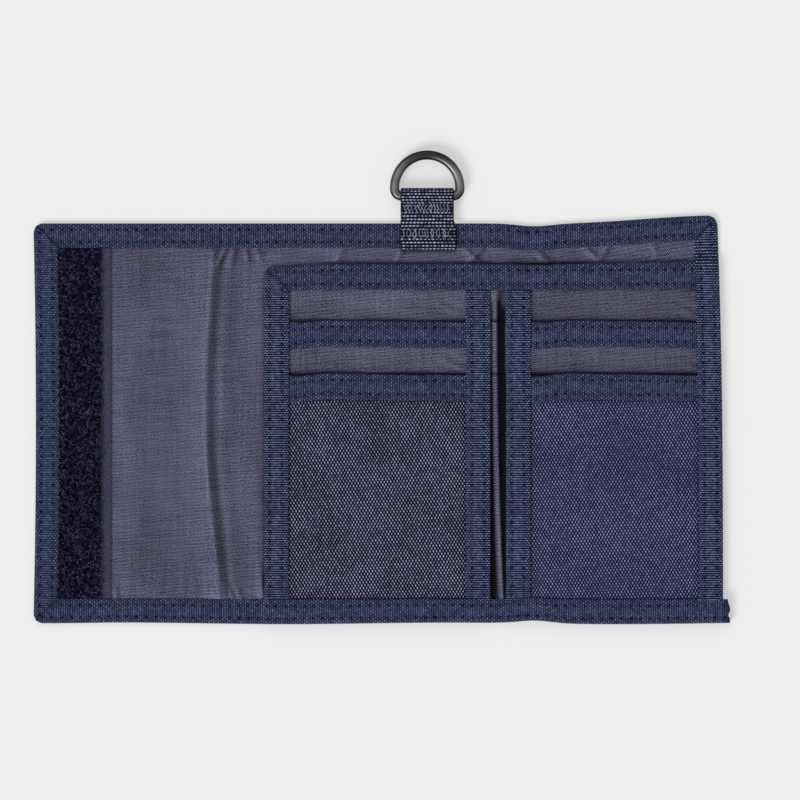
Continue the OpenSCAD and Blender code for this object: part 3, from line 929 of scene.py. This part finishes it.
def tape_shade(s, d, rows):
    """Painted shade in the needle holes, and a little along the stitch rows."""
    row_near, hole = stitch_holes(s, d, rows)
    return 1 - np.clip(0.12 * row_near + 0.95 * hole, 0, 0.97)


def across_samples(width, rows, start, count):
    """Places across a tape's face, closer at its stitch rows and at its woven edge."""
    near = [row + offset for row in rows for offset in (-0.5, -0.25, 0, 0.25, 0.5)]
    places = np.concatenate([np.linspace(start, width, count), near, [width - 0.2]])
    places = np.unique(np.round(places[(places >= start) & (places <= width)], 2))
    keep = np.concatenate([[True], np.diff(places) > 0.09])
    return places[keep]


def flat_height(height):
    return lambda s: height + 0 * s


class Fold:
    """A tape folded over an edge: where it lies, how wide its two legs are, and its heights."""

    def __init__(self, place, width, under, top, floor, legs=(0.5, 0.5), rows=None, material=None):
        self.place, self.width, self.under = place, width, under
        self.material = material or TAPE
        self.rib_height = CALM_RIB_H if self.material is TAPE else RIB_H
        self.top, self.floor, self.legs = top, floor, legs
        self.rows = rows if rows is not None else (ROW_INSET, width - ROW_INSET)


def folded_tape(name, fold, spans, where, nodes, cut=None, lift=None):
    """A closed mesh of a folded tape over a stretch of s, cut by limits that depend on d."""
    s_line = close_ends(np.linspace(*spans, max(3, round((spans[1] - spans[0]) / STATION) + 1)))
    top_line, floor_line = fold.top(s_line), fold.floor(s_line)
    height = (top_line - floor_line).min()
    radius = min(height / 2, 0.9)
    face = across_samples(fold.width, fold.rows, radius, 15)[::-1]
    back = across_samples(fold.under, (), radius, 8)
    turn = np.radians(np.linspace(90, -90, 7)[1:-1])
    d_line = np.concatenate([face, radius - radius * np.cos(turn), back])
    side = np.concatenate([np.full(len(face), 1.0), np.sin(turn), np.full(len(back), -1.0)])
    edge = np.concatenate([np.zeros(len(face)), np.cos(turn), np.zeros(len(back))])
    s, d = np.meshgrid(s_line, d_line, indexing="ij")
    dark = np.where(side > 0, tape_shade(s, d, fold.rows), 1.0)
    if cut:
        low, high = (limit(d) if limit else end for limit, end in zip(cut, (-FAR, FAR)))
        # Darker at the cut ends: painted shade along the mitre folds, and the melted colour of the tail's cut
        # end
        dark = dark * (1 - 0.9 * np.exp(-np.clip(np.minimum(s - low, high - s), 0, None) / 0.4))
        s = np.clip(s, low, high)
    top, floor = fold.top(s), fold.floor(s)
    if lift:
        top = top + lift(s, d)
    middle, half = (top + floor) / 2, (top - floor) / 2
    relief = tape_relief(s, d, fold.width, fold.rows, fold.rib_height)
    relief = np.minimum(relief, fold.legs[0] - 0.06)
    outer_z = np.maximum(middle + side * (half - relief * np.abs(side)), 0)
    outer_d = d + relief * edge * 0.8
    room_top, room_floor = top - fold.legs[0], floor + fold.legs[1]
    room_middle, room_half = (room_top + room_floor) / 2, np.maximum(room_top - room_floor, 0.04) / 2
    inner_z = room_middle + side * room_half
    inner_d = d + edge * min(0.5, radius * 0.7)
    along = np.where(side > 0, d, -d) + 0 * s
    uv = np.stack([s, along + FACE_UV], 2)
    outer = np.stack([*fold.place(s, outer_d), outer_z], 2)
    inner = np.stack([*fold.place(s, inner_d), inner_z], 2)
    piece = make_slab(name, outer, inner, uv, fold.material, merge=0.002 if cut else 0.0, shade=dark)
    return declare(piece, where, nodes)


# ---- Stitches ----

STITCHES = {zone.name: [] for zone in ZONES}
STITCH_STEPS, STITCH_SIDES = 7, 6


def stitch_row(fold, spans, row, under=False, lift=None):
    """Stitches from hole to hole along one row of a folded tape."""
    first, last = math.ceil(spans[0] / STITCH), math.floor(spans[1] / STITCH)
    starts = np.arange(first, last) * STITCH
    if not len(starts):
        return
    t = np.linspace(0, 1, STITCH_STEPS)
    s = starts[:, None] + 0.4 + t * (STITCH - 0.8)
    z = fold.floor(s) if under else fold.top(s)
    if lift is not None and not under:
        z = z + lift(s, row + 0 * s)
    arch = np.sin(math.pi * t) ** 0.5
    rise = THREAD_R * 1.1 * arch - 0.34 * (1 - arch) - 0.16
    z = z + (0.18 - rise if under else rise)
    thick = THREAD_R * (0.55 + 0.45 * arch)
    angle = np.arange(STITCH_SIDES) / STITCH_SIDES * TURN
    d = row + thick[:, None] * np.cos(angle)
    z = z[:, :, None] + thick[:, None] * np.sin(angle)
    s3 = np.repeat(s[:, :, None], STITCH_SIDES, 2)
    u, v = fold.place(s3, np.broadcast_to(d, s3.shape))
    middle = u.mean((1, 2))
    for zone in ZONES:
        mine = (middle >= zone.start) & (middle < zone.end)
        if mine.any():
            STITCHES[zone.name].append(np.stack([u, v, z], 3)[mine])


def tube_faces(count, steps, sides, capped):
    """Quads of many equal tubes, kept one after another, and closed at both ends if capped."""
    i, j = np.meshgrid(np.arange(steps - 1), np.arange(sides), indexing="ij")
    k = (j + 1) % sides
    one = np.stack([i * sides + j, i * sides + k, (i + 1) * sides + k, (i + 1) * sides + j], 2).reshape(-1, 4)
    ends = []
    for base in (0, (steps - 1) * sides):
        ring = base + np.arange(sides)
        if base == 0:
            ring = ring[::-1]
        ends += [[ring[0], ring[m], ring[m + 1], ring[m + 2]] for m in range(1, sides - 2, 2)]
    if capped:
        one = np.concatenate([one, np.array(ends)])
    return (one[None] + (np.arange(count) * steps * sides)[:, None, None]).reshape(-1, 4)


def tube_uv(count, steps, sides, seed):
    """UV of many tubes: a number of its own for each tube, and the length along it."""
    draw = np.random.default_rng(SEED * 77 + seed)
    own = draw.integers(0, 4000, count)[:, None, None] + np.full((1, steps, sides), 0.5)
    along = np.broadcast_to(np.arange(steps)[None, :, None] * 0.5, own.shape)
    return np.stack([own, along], 3).reshape(-1, 2)


def tubes(name, points, material, where, seed, nodes=(), capped=True):
    """A piece made of many equal tubes, from points that are tubes x steps x sides x 3."""
    shape = points.shape[:3]
    flat = points.reshape(-1, 3)
    faces = outward(flat, tube_faces(*shape, capped))
    piece = make_mesh(name, flat, faces, tube_uv(*shape, seed), material)
    declare(piece, where, nodes)


def sew():
    """All the stitches, as one piece for each stretch of the wallet."""
    for i, zone in enumerate(ZONES):
        tubes("stitches_" + zone.name, np.concatenate(STITCHES[zone.name]), THREAD, zone, i)


def sewn_tape(name, fold, spans, where, nodes, cut=None, lift=None, stitched=None, under_rows=()):
    """A folded tape with its rows of stitches."""
    piece = folded_tape(name, fold, spans, where, nodes, cut, lift)
    for row, under in [(row, False) for row in fold.rows] + [(row, True) for row in under_rows]:
        low, high = stitched(row) if stitched else spans
        stitch_row(fold, (max(low, spans[0]), min(high, spans[1])), row, under, lift)
    return piece


# ---- The wallet's edge tapes ----

OVERLAP, TUCK = 0.45, 0.9
UNDER_W = TAPE_W - 0.2
EDGE_LEGS = (0.5, OUTER_Z)


def foot_height(s):
    """Top of the bottom tape: thin, then over the stack, with a dip in the leaf's fold."""
    stack = smooth(PANEL_LEFT - 1.5, PANEL_LEFT + 1.5, s)
    dip = bell(s, LEAF_SPINE_MID, 3.0)
    tail = smooth(WIDTH - 0.5, WIDTH + TAIL, s)
    return THIN_TOP + (STACK_TOP - THIN_TOP) * stack * (1 - 0.75 * dip) - 0.9 * tail


def tail_end(d):
    """Where the bottom tape is cut off, past the wallet's right edge: uneven, with a notch."""
    return WIDTH + TAIL - 0.1 - 0.012 * d ** 2 - 0.5 * bell(d, 2.7, 0.8) + 0.3 * bell(d, 4.8, 1.2)


def side_height(s):
    """Top of the right tape, thin above the card panel."""
    return STACK_TOP - (STACK_TOP - THIN_TOP) * smooth(PANEL_TOP - 1.5, PANEL_TOP + 2, s)


def edge_tapes():
    top = Fold(lambda s, d: (s, HEIGHT - d), TAPE_W, UNDER_W, flat_height(THIN_TOP), flat_height(0),
               EDGE_LEGS)
    foot = Fold(lambda s, d: (s, d), TAPE_W, UNDER_W, foot_height, flat_height(0), EDGE_LEGS)
    left = Fold(lambda s, d: (d, s), TAPE_W, UNDER_W, flat_height(THIN_TOP), flat_height(0), EDGE_LEGS)
    right = Fold(lambda s, d: (WIDTH - d, s), TAPE_W, UNDER_W, side_height, flat_height(0), EDGE_LEGS,
                 material=UPRIGHT_TAPE)
    top_nodes, foot_nodes = zone_nodes("top_binding"), zone_nodes("bottom_binding")
    rows = (ROW_INSET, TAPE_W - ROW_INSET)
    for zone in ZONES:
        ends = (zone.start, zone.end)
        cut_top = cut_foot = lift_top = lift_foot = None
        foot_end = zone.end
        if zone.name == "flap":
            cut_top = (lambda d: d - TUCK, None)
            cut_foot = (lambda d: np.maximum(d - OVERLAP, 0), None)
            lift_top = lambda s, d: -0.2 * (1 - smooth(0, 3, s - d + TUCK))
            lift_foot = lambda s, d: 0.12 * (1 - smooth(0, 1.6, s - d + OVERLAP))
        if zone.name == "leaf":
            cut_top = (None, lambda d: np.minimum(WIDTH - d + OVERLAP, WIDTH))
            lift_top = lambda s, d: 0.12 * smooth(-1.6, 0, s - (WIDTH - d + OVERLAP))
            foot_end = WIDTH + TAIL
            cut_foot = (None, tail_end)
        sewn_tape("edge_tape_top_" + zone.name, top, ends, zone, top_nodes[zone.name], cut_top, lift_top,
                  lambda row: (row, WIDTH - row), rows)
        sewn_tape("edge_tape_bottom_" + zone.name, foot, (zone.start, foot_end), zone,
                  foot_nodes[zone.name], cut_foot, lift_foot, lambda row: (row, WIDTH + 0.5), rows)
    sewn_tape("edge_tape_left", left, (0, HEIGHT), "flap", ["left_binding"],
              (lambda d: np.maximum(d - TUCK, 0), lambda d: np.minimum(HEIGHT - d + OVERLAP, HEIGHT)),
              lambda s, d: (0.12 * smooth(-1.6, 0, s - (HEIGHT - d + OVERLAP))
                            - 0.2 * (1 - smooth(0, 3, s - d + TUCK))),
              lambda row: (row, HEIGHT - row), rows)
    sewn_tape("edge_tape_right", right, (TAPE_W - 3, HEIGHT), "leaf", ["right_binding"],
              (None, lambda d: np.minimum(HEIGHT - d + TUCK, HEIGHT)),
              lambda s, d: (-0.2 * smooth(-3, 0, s - (HEIGHT - d + TUCK))
                            - 0.3 * (1 - smooth(TAPE_W - 2.5, TAPE_W, s))),
              lambda row: (TAPE_W, HEIGHT - row), rows)


# ---- The tapes of the pockets ----

def column_height(s):
    """Top of an upright tape: lower where there is no pocket behind it."""
    upper = 0.4 * smooth(FRONT_TOP, FRONT_TOP + 4, s) + 0.45 * smooth(INNER_TOP, INNER_TOP + 4, s)
    return STACK_TOP - upper - 0.55 * smooth(PANEL_TOP - LIP_W - 1.2, PANEL_TOP - LIP_W + 0.6, s)


def column_floor(s):
    """Underside of an upright tape, above the cloths that it crosses."""
    return np.where(s < INNER_TOP, INNER_Z + LINING_T, PANEL_Z + LINING_T) + 0.02


def uprights():
    """The tapes up both sides of the gap, and the one on the panel's left edge."""
    rows = (ROW_INSET - 0.1, TAPE_W - ROW_INSET - 0.1)
    spans = (TAPE_W - 1.5, PANEL_TOP - LIP_W + 1.2)
    left = Fold(lambda s, d: (COLUMN_LEFT[1] - d, s), TAPE_W, TAPE_W - 0.4, column_height, column_floor,
                (0.42, 0.3), rows, UPRIGHT_TAPE)
    right = Fold(lambda s, d: (COLUMN_RIGHT[0] + d, s), TAPE_W, TAPE_W - 0.4, column_height, column_floor,
                 (0.42, 0.3), rows, UPRIGHT_TAPE)

    def side_place(s, d):
        u, v = panel_corner(PANEL_LEFT + d, s)
        return u, v - 0.9 * smooth(PANEL_TOP - 12, PANEL_TOP, s)

    panel = Fold(side_place, TAPE_W, TAPE_W - 0.4, column_height, flat_height(THIN_Z + 0.02), (0.5, 0.33),
                 rows, UPRIGHT_TAPE)
    tuck = lambda s, d: -0.35 * (1 - smooth(TAPE_W - 0.8, TAPE_W + 1.5, s))
    sewn = lambda row: (TAPE_W, PANEL_TOP - LIP_W)
    sewn_tape("column_tape_left", left, spans, "middle", ["column_binding_left"], None, tuck, sewn)
    sewn_tape("column_tape_right", right, spans, "leaf", ["column_binding_right"], None, tuck, sewn)
    sewn_tape("panel_side_tape", panel, (TAPE_W - 1.5, PANEL_TOP), "middle", ["panel_left_binding"],
              (None, lambda d: np.minimum(PANEL_TOP - d * 1.05 + TUCK, PANEL_TOP)),
              lambda s, d: tuck(s, d) - 0.1 * smooth(-3, 0, s - (PANEL_TOP - d + TUCK)),
              lambda row: (TAPE_W, PANEL_TOP - row))


def panel_tape_height(s):
    """Top of the tape on the card panel's upper edge, dipping into the leaf's fold."""
    dip = bell(s, LEAF_SPINE_MID, 2.6)
    end = smooth(WIDTH - TAPE_W - 2, WIDTH - TAPE_W + 1, s)
    return PANEL_TAPE_TOP - 0.75 * dip - 0.5 * end


def panel_top_tape():
    rows = (ROW_INSET, LIP_W - ROW_INSET)

    def place(s, d):
        u, v = panel_corner(s, PANEL_TOP - d)
        return u, v - (0.9 - 0.06 * d) * (1 - smooth(PANEL_LEFT, PANEL_LEFT + 26, s))

    fold = Fold(place, LIP_W, LIP_W - 0.5, panel_tape_height, flat_height(THIN_Z + 0.02), (0.5, 0.3), rows)
    for side, ends in panel_spans(PANEL_LEFT, WIDTH - TAPE_W + 1.5).items():
        cut = lift = None
        if side == "left":
            cut = (lambda d: np.maximum(PANEL_LEFT + d - OVERLAP, PANEL_LEFT), None)
            lift = lambda s, d: 0.12 * (1 - smooth(0, 1.6, s - PANEL_LEFT - d + OVERLAP))
        sewn_tape("panel_top_tape_" + side, fold, ends, PANEL_RIDES[side], ["panel_top_binding_" + side],
                  cut, lift, lambda row: (PANEL_LEFT + row, WIDTH - TAPE_W))


def lips():
    """The tapes over the four pocket mouths, which droop a little at their left ends."""
    sides = {"left": ("middle", PANEL_LEFT + TAPE_W, COLUMN_LEFT[0]),
             "right": ("leaf", COLUMN_RIGHT[1], WIDTH - TAPE_W)}
    pockets = {"inner": (INNER_TOP, INNER_Z - 0.38, INNER_Z + LINING_T + 0.5),
               "front": (FRONT_TOP, FRONT_Z - 0.38, STACK_TOP - 0.15)}
    for side, (body, low, high) in sides.items():
        for pocket, (mouth, floor, top) in pockets.items():
            def place(s, d, mouth=mouth, low=low, high=high):
                sag = 0.9 * (1 - smooth(0, 13, s - low)) + 0.35 * smooth(-10, 0, s - high)
                return s, mouth - d - sag + 0.2 * np.sin((s - low) * 0.11)

            def height(s, top=top, low=low, high=high):
                ends = (1 - smooth(-0.5, 3.5, s - low)) + smooth(-3.5, 0.5, s - high)
                return top - 0.3 * ends

            fold = Fold(place, LIP_W, LIP_W - 0.6, height, flat_height(floor), (0.42, 0.3))
            node = f"{pocket}_pocket_lip_{side}"
            sewn_tape(f"{pocket}_lip_tape_{side}", fold, (low - 0.6, high + 0.6), body, [node],
                      stitched=lambda row, low=low, high=high: (low, high))


# ---- Hook and loop ----

def loop_strip():
    """A woven ground, its selvage, and a pile of brushed loops."""
    low, high = span("loop_strip")
    rough = Waves(6, (2.4, 1.3))
    cloth("loop_ground", (low[0] - 0.5, high[0]), (low[1], high[1]), flat_lift(THIN_Z),
          lambda u, v: 0.35 + 0.12 * rough(u, v) * (u < SELVAGE), (0.45, 0.6),
          LOOP_BASE, "flap", ["loop_strip"])
    draw = np.random.default_rng(SEED + 11)
    count, steps, sides = 12000, 5, 3
    edge = draw.uniform(0, 1, count)
    thin_out = draw.uniform(0, 1, count) ** 2 * 2.6 - 1.3
    u = low[0] + edge * (SELVAGE + thin_out - low[0])
    v = draw.uniform(low[1] + 0.3, high[1] - 0.3, count)
    clump = Waves(8, (3.2, 1.7))(u, v)
    turn = draw.uniform(0, TURN, count)
    reach = draw.uniform(0.25, 0.7, count)
    tall = np.clip(draw.uniform(0.35, 1.0, count) + 0.18 * clump, 0.2, 1.05)
    thick = draw.uniform(0.04, 0.08, count)
    t = np.linspace(0, 1, steps)
    along = (t - 0.5) * reach[:, None] * 2
    wobble = 0.25 * np.sin(t * 5) * draw.uniform(-1, 1, count)[:, None]
    centre_u = u[:, None] + along * np.cos(turn)[:, None] - wobble * np.sin(turn)[:, None]
    centre_v = v[:, None] + along * np.sin(turn)[:, None] + wobble * np.cos(turn)[:, None]
    centre_z = THIN_Z + 0.3 + tall[:, None] * np.sin(math.pi * np.clip(t, 0.02, 0.98)) ** 0.7
    angle = np.arange(sides) / sides * TURN
    ring = thick[:, None, None] * np.cos(angle)
    pu = centre_u[:, :, None] - ring * np.sin(turn)[:, None, None]
    pv = centre_v[:, :, None] + ring * np.cos(turn)[:, None, None]
    pz = centre_z[:, :, None] + thick[:, None, None] * np.sin(angle)
    pu = np.clip(pu, low[0] + 0.05, high[0] - 0.4)
    pv = np.clip(pv, low[1] + 0.05, high[1] - 0.05)
    tubes("loop_fibres", np.stack([pu, pv, pz], 3), PILE, "flap", 5, capped=False)


def sew_loop_strip():
    """The stitches that hold the loop strip down along its selvage."""
    low, high = span("loop_strip")
    strip = Fold(lambda s, d: (STRIP_RIGHT - d, s), 4, 4, flat_height(THIN_Z + 0.42), flat_height(0))
    for row in (0.8, 3.0):
        stitch_row(strip, (low[1] + 1, high[1] - 1), row)


def hook_strip():
    """A woven ground on the outside of the leaf, with rows of small hooks that face down."""
    low, high = span("hook_strip")
    top = high[2]
    cloth("hook_ground", (low[0], high[0]), (low[1], high[1]), flat_lift(top - 0.35), 0.33,
          (0.8, 0.8), HOOK_BASE, "leaf", ["hook_strip"])
    gap_u, gap_v = 1.35, 1.5
    rows_u = np.arange(low[0] + 1.6, high[0] - 1.2, gap_u)
    rows_v = np.arange(low[1] + 1.0, high[1] - 1.0, gap_v)
    u, v = (x.ravel() for x in np.meshgrid(rows_u, rows_v, indexing="ij"))
    way = np.where(np.arange(len(u)) // len(rows_v) % 2 == 0, 1.0, -1.0)
    steps, sides = 6, 4
    t = np.linspace(0, 1, steps)
    arc_v = 0.34 * np.sin(t * 2.6)
    arc_z = -0.24 * (1 - np.cos(np.clip(t * 1.35, 0, 1) * math.pi / 1.15)) * 0.75
    thick = 0.085
    angle = np.arange(sides) / sides * TURN + math.pi / 4
    pu = u[:, None, None] + thick * np.cos(angle) + 0 * t[None, :, None]
    pv = v[:, None, None] + (way[:, None] * arc_v[None, :])[:, :, None] + thick * np.sin(angle)
    pz = top - 0.33 + arc_z[None, :, None] + 0 * pu
    pz = np.maximum(pz, 0.02)
    tubes("hooks", np.stack([pu, pv, pz], 3), HOOK_BASE, "leaf", 9)


# ---- Webbing and D-ring ----

def webbing():
    """A strap folded round the ring's bar, sewn down over the top tape."""
    low, high = WEBBING_LOW, WEBBING_HIGH
    bar = joint_place("ring_swing")
    bar_v, bar_z = (bar[1] - FOOT) / MM, bar[2] / MM
    eye = high[1] - bar_v
    thick = 0.9
    foot = low[1]
    end_r = 1.0
    half = 1.0
    lower = [(v, bar_z - half) for v in np.arange(foot + 2.0, bar_v - 3.6, 0.21)]
    sweep = np.radians(np.linspace(-90, 90, 44))
    throat = [(bar_v - 3.6 + 3.6 * t, bar_z - half - (eye - half) * smooth(0, 1, t))
              for t in np.linspace(0, 1, 18)[:-1]]
    around = [(bar_v + eye * math.cos(a), bar_z + eye * math.sin(a)) for a in sweep]
    back = [(v, 2 * bar_z - z) for v, z in throat[::-1]]
    upper = [(v, bar_z + half) for v in np.arange(bar_v - 3.8, foot + end_r, -0.21)]
    hem = [(foot + end_r - end_r * math.sin(a), bar_z + end_r * math.cos(a) - 0.02)
           for a in np.radians(np.linspace(0, 150, 12))]
    path = np.array(lower + throat + around + back + upper + hem)
    ahead = np.gradient(path, axis=0)
    ahead = ahead / np.linalg.norm(ahead, axis=1)[:, None]
    normal = np.stack([ahead[:, 1], -ahead[:, 0]], 1)
    length = np.concatenate([[0], np.cumsum(np.linalg.norm(np.diff(path, axis=0), axis=1))])
    length = length - length[len(lower) + len(throat) + 21]
    inset = np.full(len(path), thick)
    inset[-12:] = np.linspace(thick, 0.45, 12)
    width = high[0] - low[0]
    across = np.linspace(0, width, 82)
    a, s = np.meshgrid(across, length, indexing="xy")
    row = np.abs(np.sin(s * math.pi / WEB_ROW))
    shift = np.sin(np.floor(s / WEB_ROW) * WEB_SHIFT) * 0.5
    blob = np.abs(np.sin((a / WEB_BLOB + shift) * math.pi))
    height = 0.42 * row ** 0.9 * (0.5 + 0.5 * blob ** 0.6) - 0.42
    rim = np.clip(np.minimum(a, width - a) / 0.8, 0, 1)
    height = height - 0.35 * (1 - np.sqrt(1 - (1 - rim) ** 2))
    corner = np.clip((length - length[-1] + 3.2) / 3.2, 0, 1)[:, None]
    lower = smooth(HEIGHT + 1.5, HEIGHT - 2.5, path[:, 0])[:, None] * (path[:, 1] > bar_z)[:, None]
    squeeze = 0.985 + 0.055 * lower - 0.09 * corner ** 2
    u = low[0] + width / 2 + (a - width / 2) * squeeze + 0.3 * lower
    outer = np.stack([u, path[:, 0, None] + normal[:, 0, None] * height,
                      path[:, 1, None] + normal[:, 1, None] * height], 2)
    lift = -inset[:, None] + 0.25 * (1 - rim)
    inner = np.stack([u, path[:, 0, None] + normal[:, 0, None] * lift,
                      path[:, 1, None] + normal[:, 1, None] * lift], 2)
    tack_v = [(foot + head) / 2 for foot, head in TACKS]
    # Painted shade on the webbing among the bar tacks' threads, and along its rolled edges
    tack_shade = sum(bell(path[:, 0], middle, 1.3) for middle in tack_v) * (path[:, 1] > bar_z)
    edge = smooth(0, 0.8, np.minimum(a, width - a))
    dark = (1 - 0.75 * np.clip(tack_shade, 0, 1)[:, None]) * (0.3 + 0.7 * edge)
    piece = make_slab("webbing_strap", outer, inner, np.stack([a, s], 2), WEBBING, shade=dark)
    declare(piece, "middle", ["webbing_loop"])
    bar_tacks(low[0] + width / 2, bar_z + half)


TACKS = [(TACK_LOW[1] + 0.2, TACK_LOW[1] + 3.3), (TACK_HIGH[1] - 2.5, TACK_HIGH[1] + 0.5)]


def bar_tacks(middle, top):
    """Two rows of bent threads through the webbing: arcs in the lower row, arrowheads in the upper."""
    draw = np.random.default_rng(SEED + 23)
    half = (TACK_HIGH[0] - TACK_LOW[0]) / 2
    steps, sides = 9, 6
    t = np.linspace(0, 1, steps)
    arch = np.sin(math.pi * t) ** 0.6
    angle = np.arange(sides) / sides * TURN
    threads = []
    for (foot, head), spacing, bend in zip(TACKS, (0.95, 1.1), (2.0, 1.0)):
        for number, start in enumerate(np.arange(-half, half - 0.4, spacing)):
            turned = start < 0 if bend < 2 else number % 2
            out = (0.8 if turned else -0.8) * np.abs(2 * t - 1) ** bend
            u = middle + start + 0.4 + out + draw.uniform(-0.2, 0.2) + 0.1 * np.sin(t * 9)
            v = foot + (head - foot) * t + draw.uniform(-0.25, 0.25)
            z = top - 0.02 + 0.24 * arch - 0.2 * (1 - arch)
            ring_u = u[:, None] + 0.13 * np.cos(angle)
            ring_v = v[:, None] + 0 * angle
            ring_z = z[:, None] + 0.13 * np.sin(angle)
            threads.append(np.stack([ring_u, ring_v, ring_z], 2))
    tubes("bar_tack_threads", np.array(threads), TACK_THREAD, "middle", 31, ["bar_tacks"])


def d_ring():
    ring = frame["nodes"]["d_ring"]
    ring.data.materials.clear()
    ring.data.materials.append(METAL)


# ---- Studio ----

FRAME_W = 258.06
AIM = (117.74, 72.03)
EYE_HEIGHT = 1.5
SENSOR = 36.0


def camera():
    """Straight down, with the wallet's top edge up in the picture."""
    data = bpy.data.cameras.new("camera")
    data.sensor_width = SENSOR
    data.lens = SENSOR * EYE_HEIGHT / (FRAME_W * MM)
    data.clip_end = 100
    item = add_object("camera", data)
    item.location = (LEFT + AIM[0] * MM, FOOT + AIM[1] * MM, EYE_HEIGHT)
    bpy.context.scene.camera = item


def sun(name, azimuth, elevation, strength, spread):
    """Soft even light from one side: azimuth 0 is from -Y, and 90 from +X."""
    data = bpy.data.lights.new(name, "SUN")
    data.energy = strength
    data.angle = math.radians(spread)
    add_object(name, data).rotation_euler = (math.radians(90 - elevation), 0, math.radians(azimuth))


def studio():
    scene = bpy.context.scene
    scene.view_settings.view_transform = "Standard"
    world = bpy.data.worlds.new("studio")
    world.use_nodes = True
    world.node_tree.nodes["Background"].inputs["Color"].default_value = (1, 1, 1, 1)
    world.node_tree.nodes["Background"].inputs["Strength"].default_value = 0.42
    scene.world = world
    sun("front_light", -38, 42, 2.3, 25)
    sun("back_light", 190, 50, 0.62, 50)
    mesh = bpy.data.meshes.new("floor")
    reach, drop = 3.0, -0.03 * MM
    corners = [(-reach, -reach, drop), (reach, -reach, drop), (reach, reach, drop), (-reach, reach, drop)]
    mesh.from_pydata(corners, [], [(0, 1, 2, 3)])
    pale = {"Base Color": (0.4, 0.4, 0.4, 1), "Emission Color": (1, 1, 1, 1), "Emission Strength": 0.432,
            "Roughness": 1.0, "Specular IOR Level": 0.0}
    mesh.materials.append(plain_material("pale_floor", pale)[0])
    add_object("floor", mesh)


camera()
studio()
shell()
lining()
card_panel()
front_pockets()
edge_tapes()
uprights()
panel_top_tape()
lips()
sew_loop_strip()
sew()
loop_strip()
hook_strip()
webbing()
d_ring()
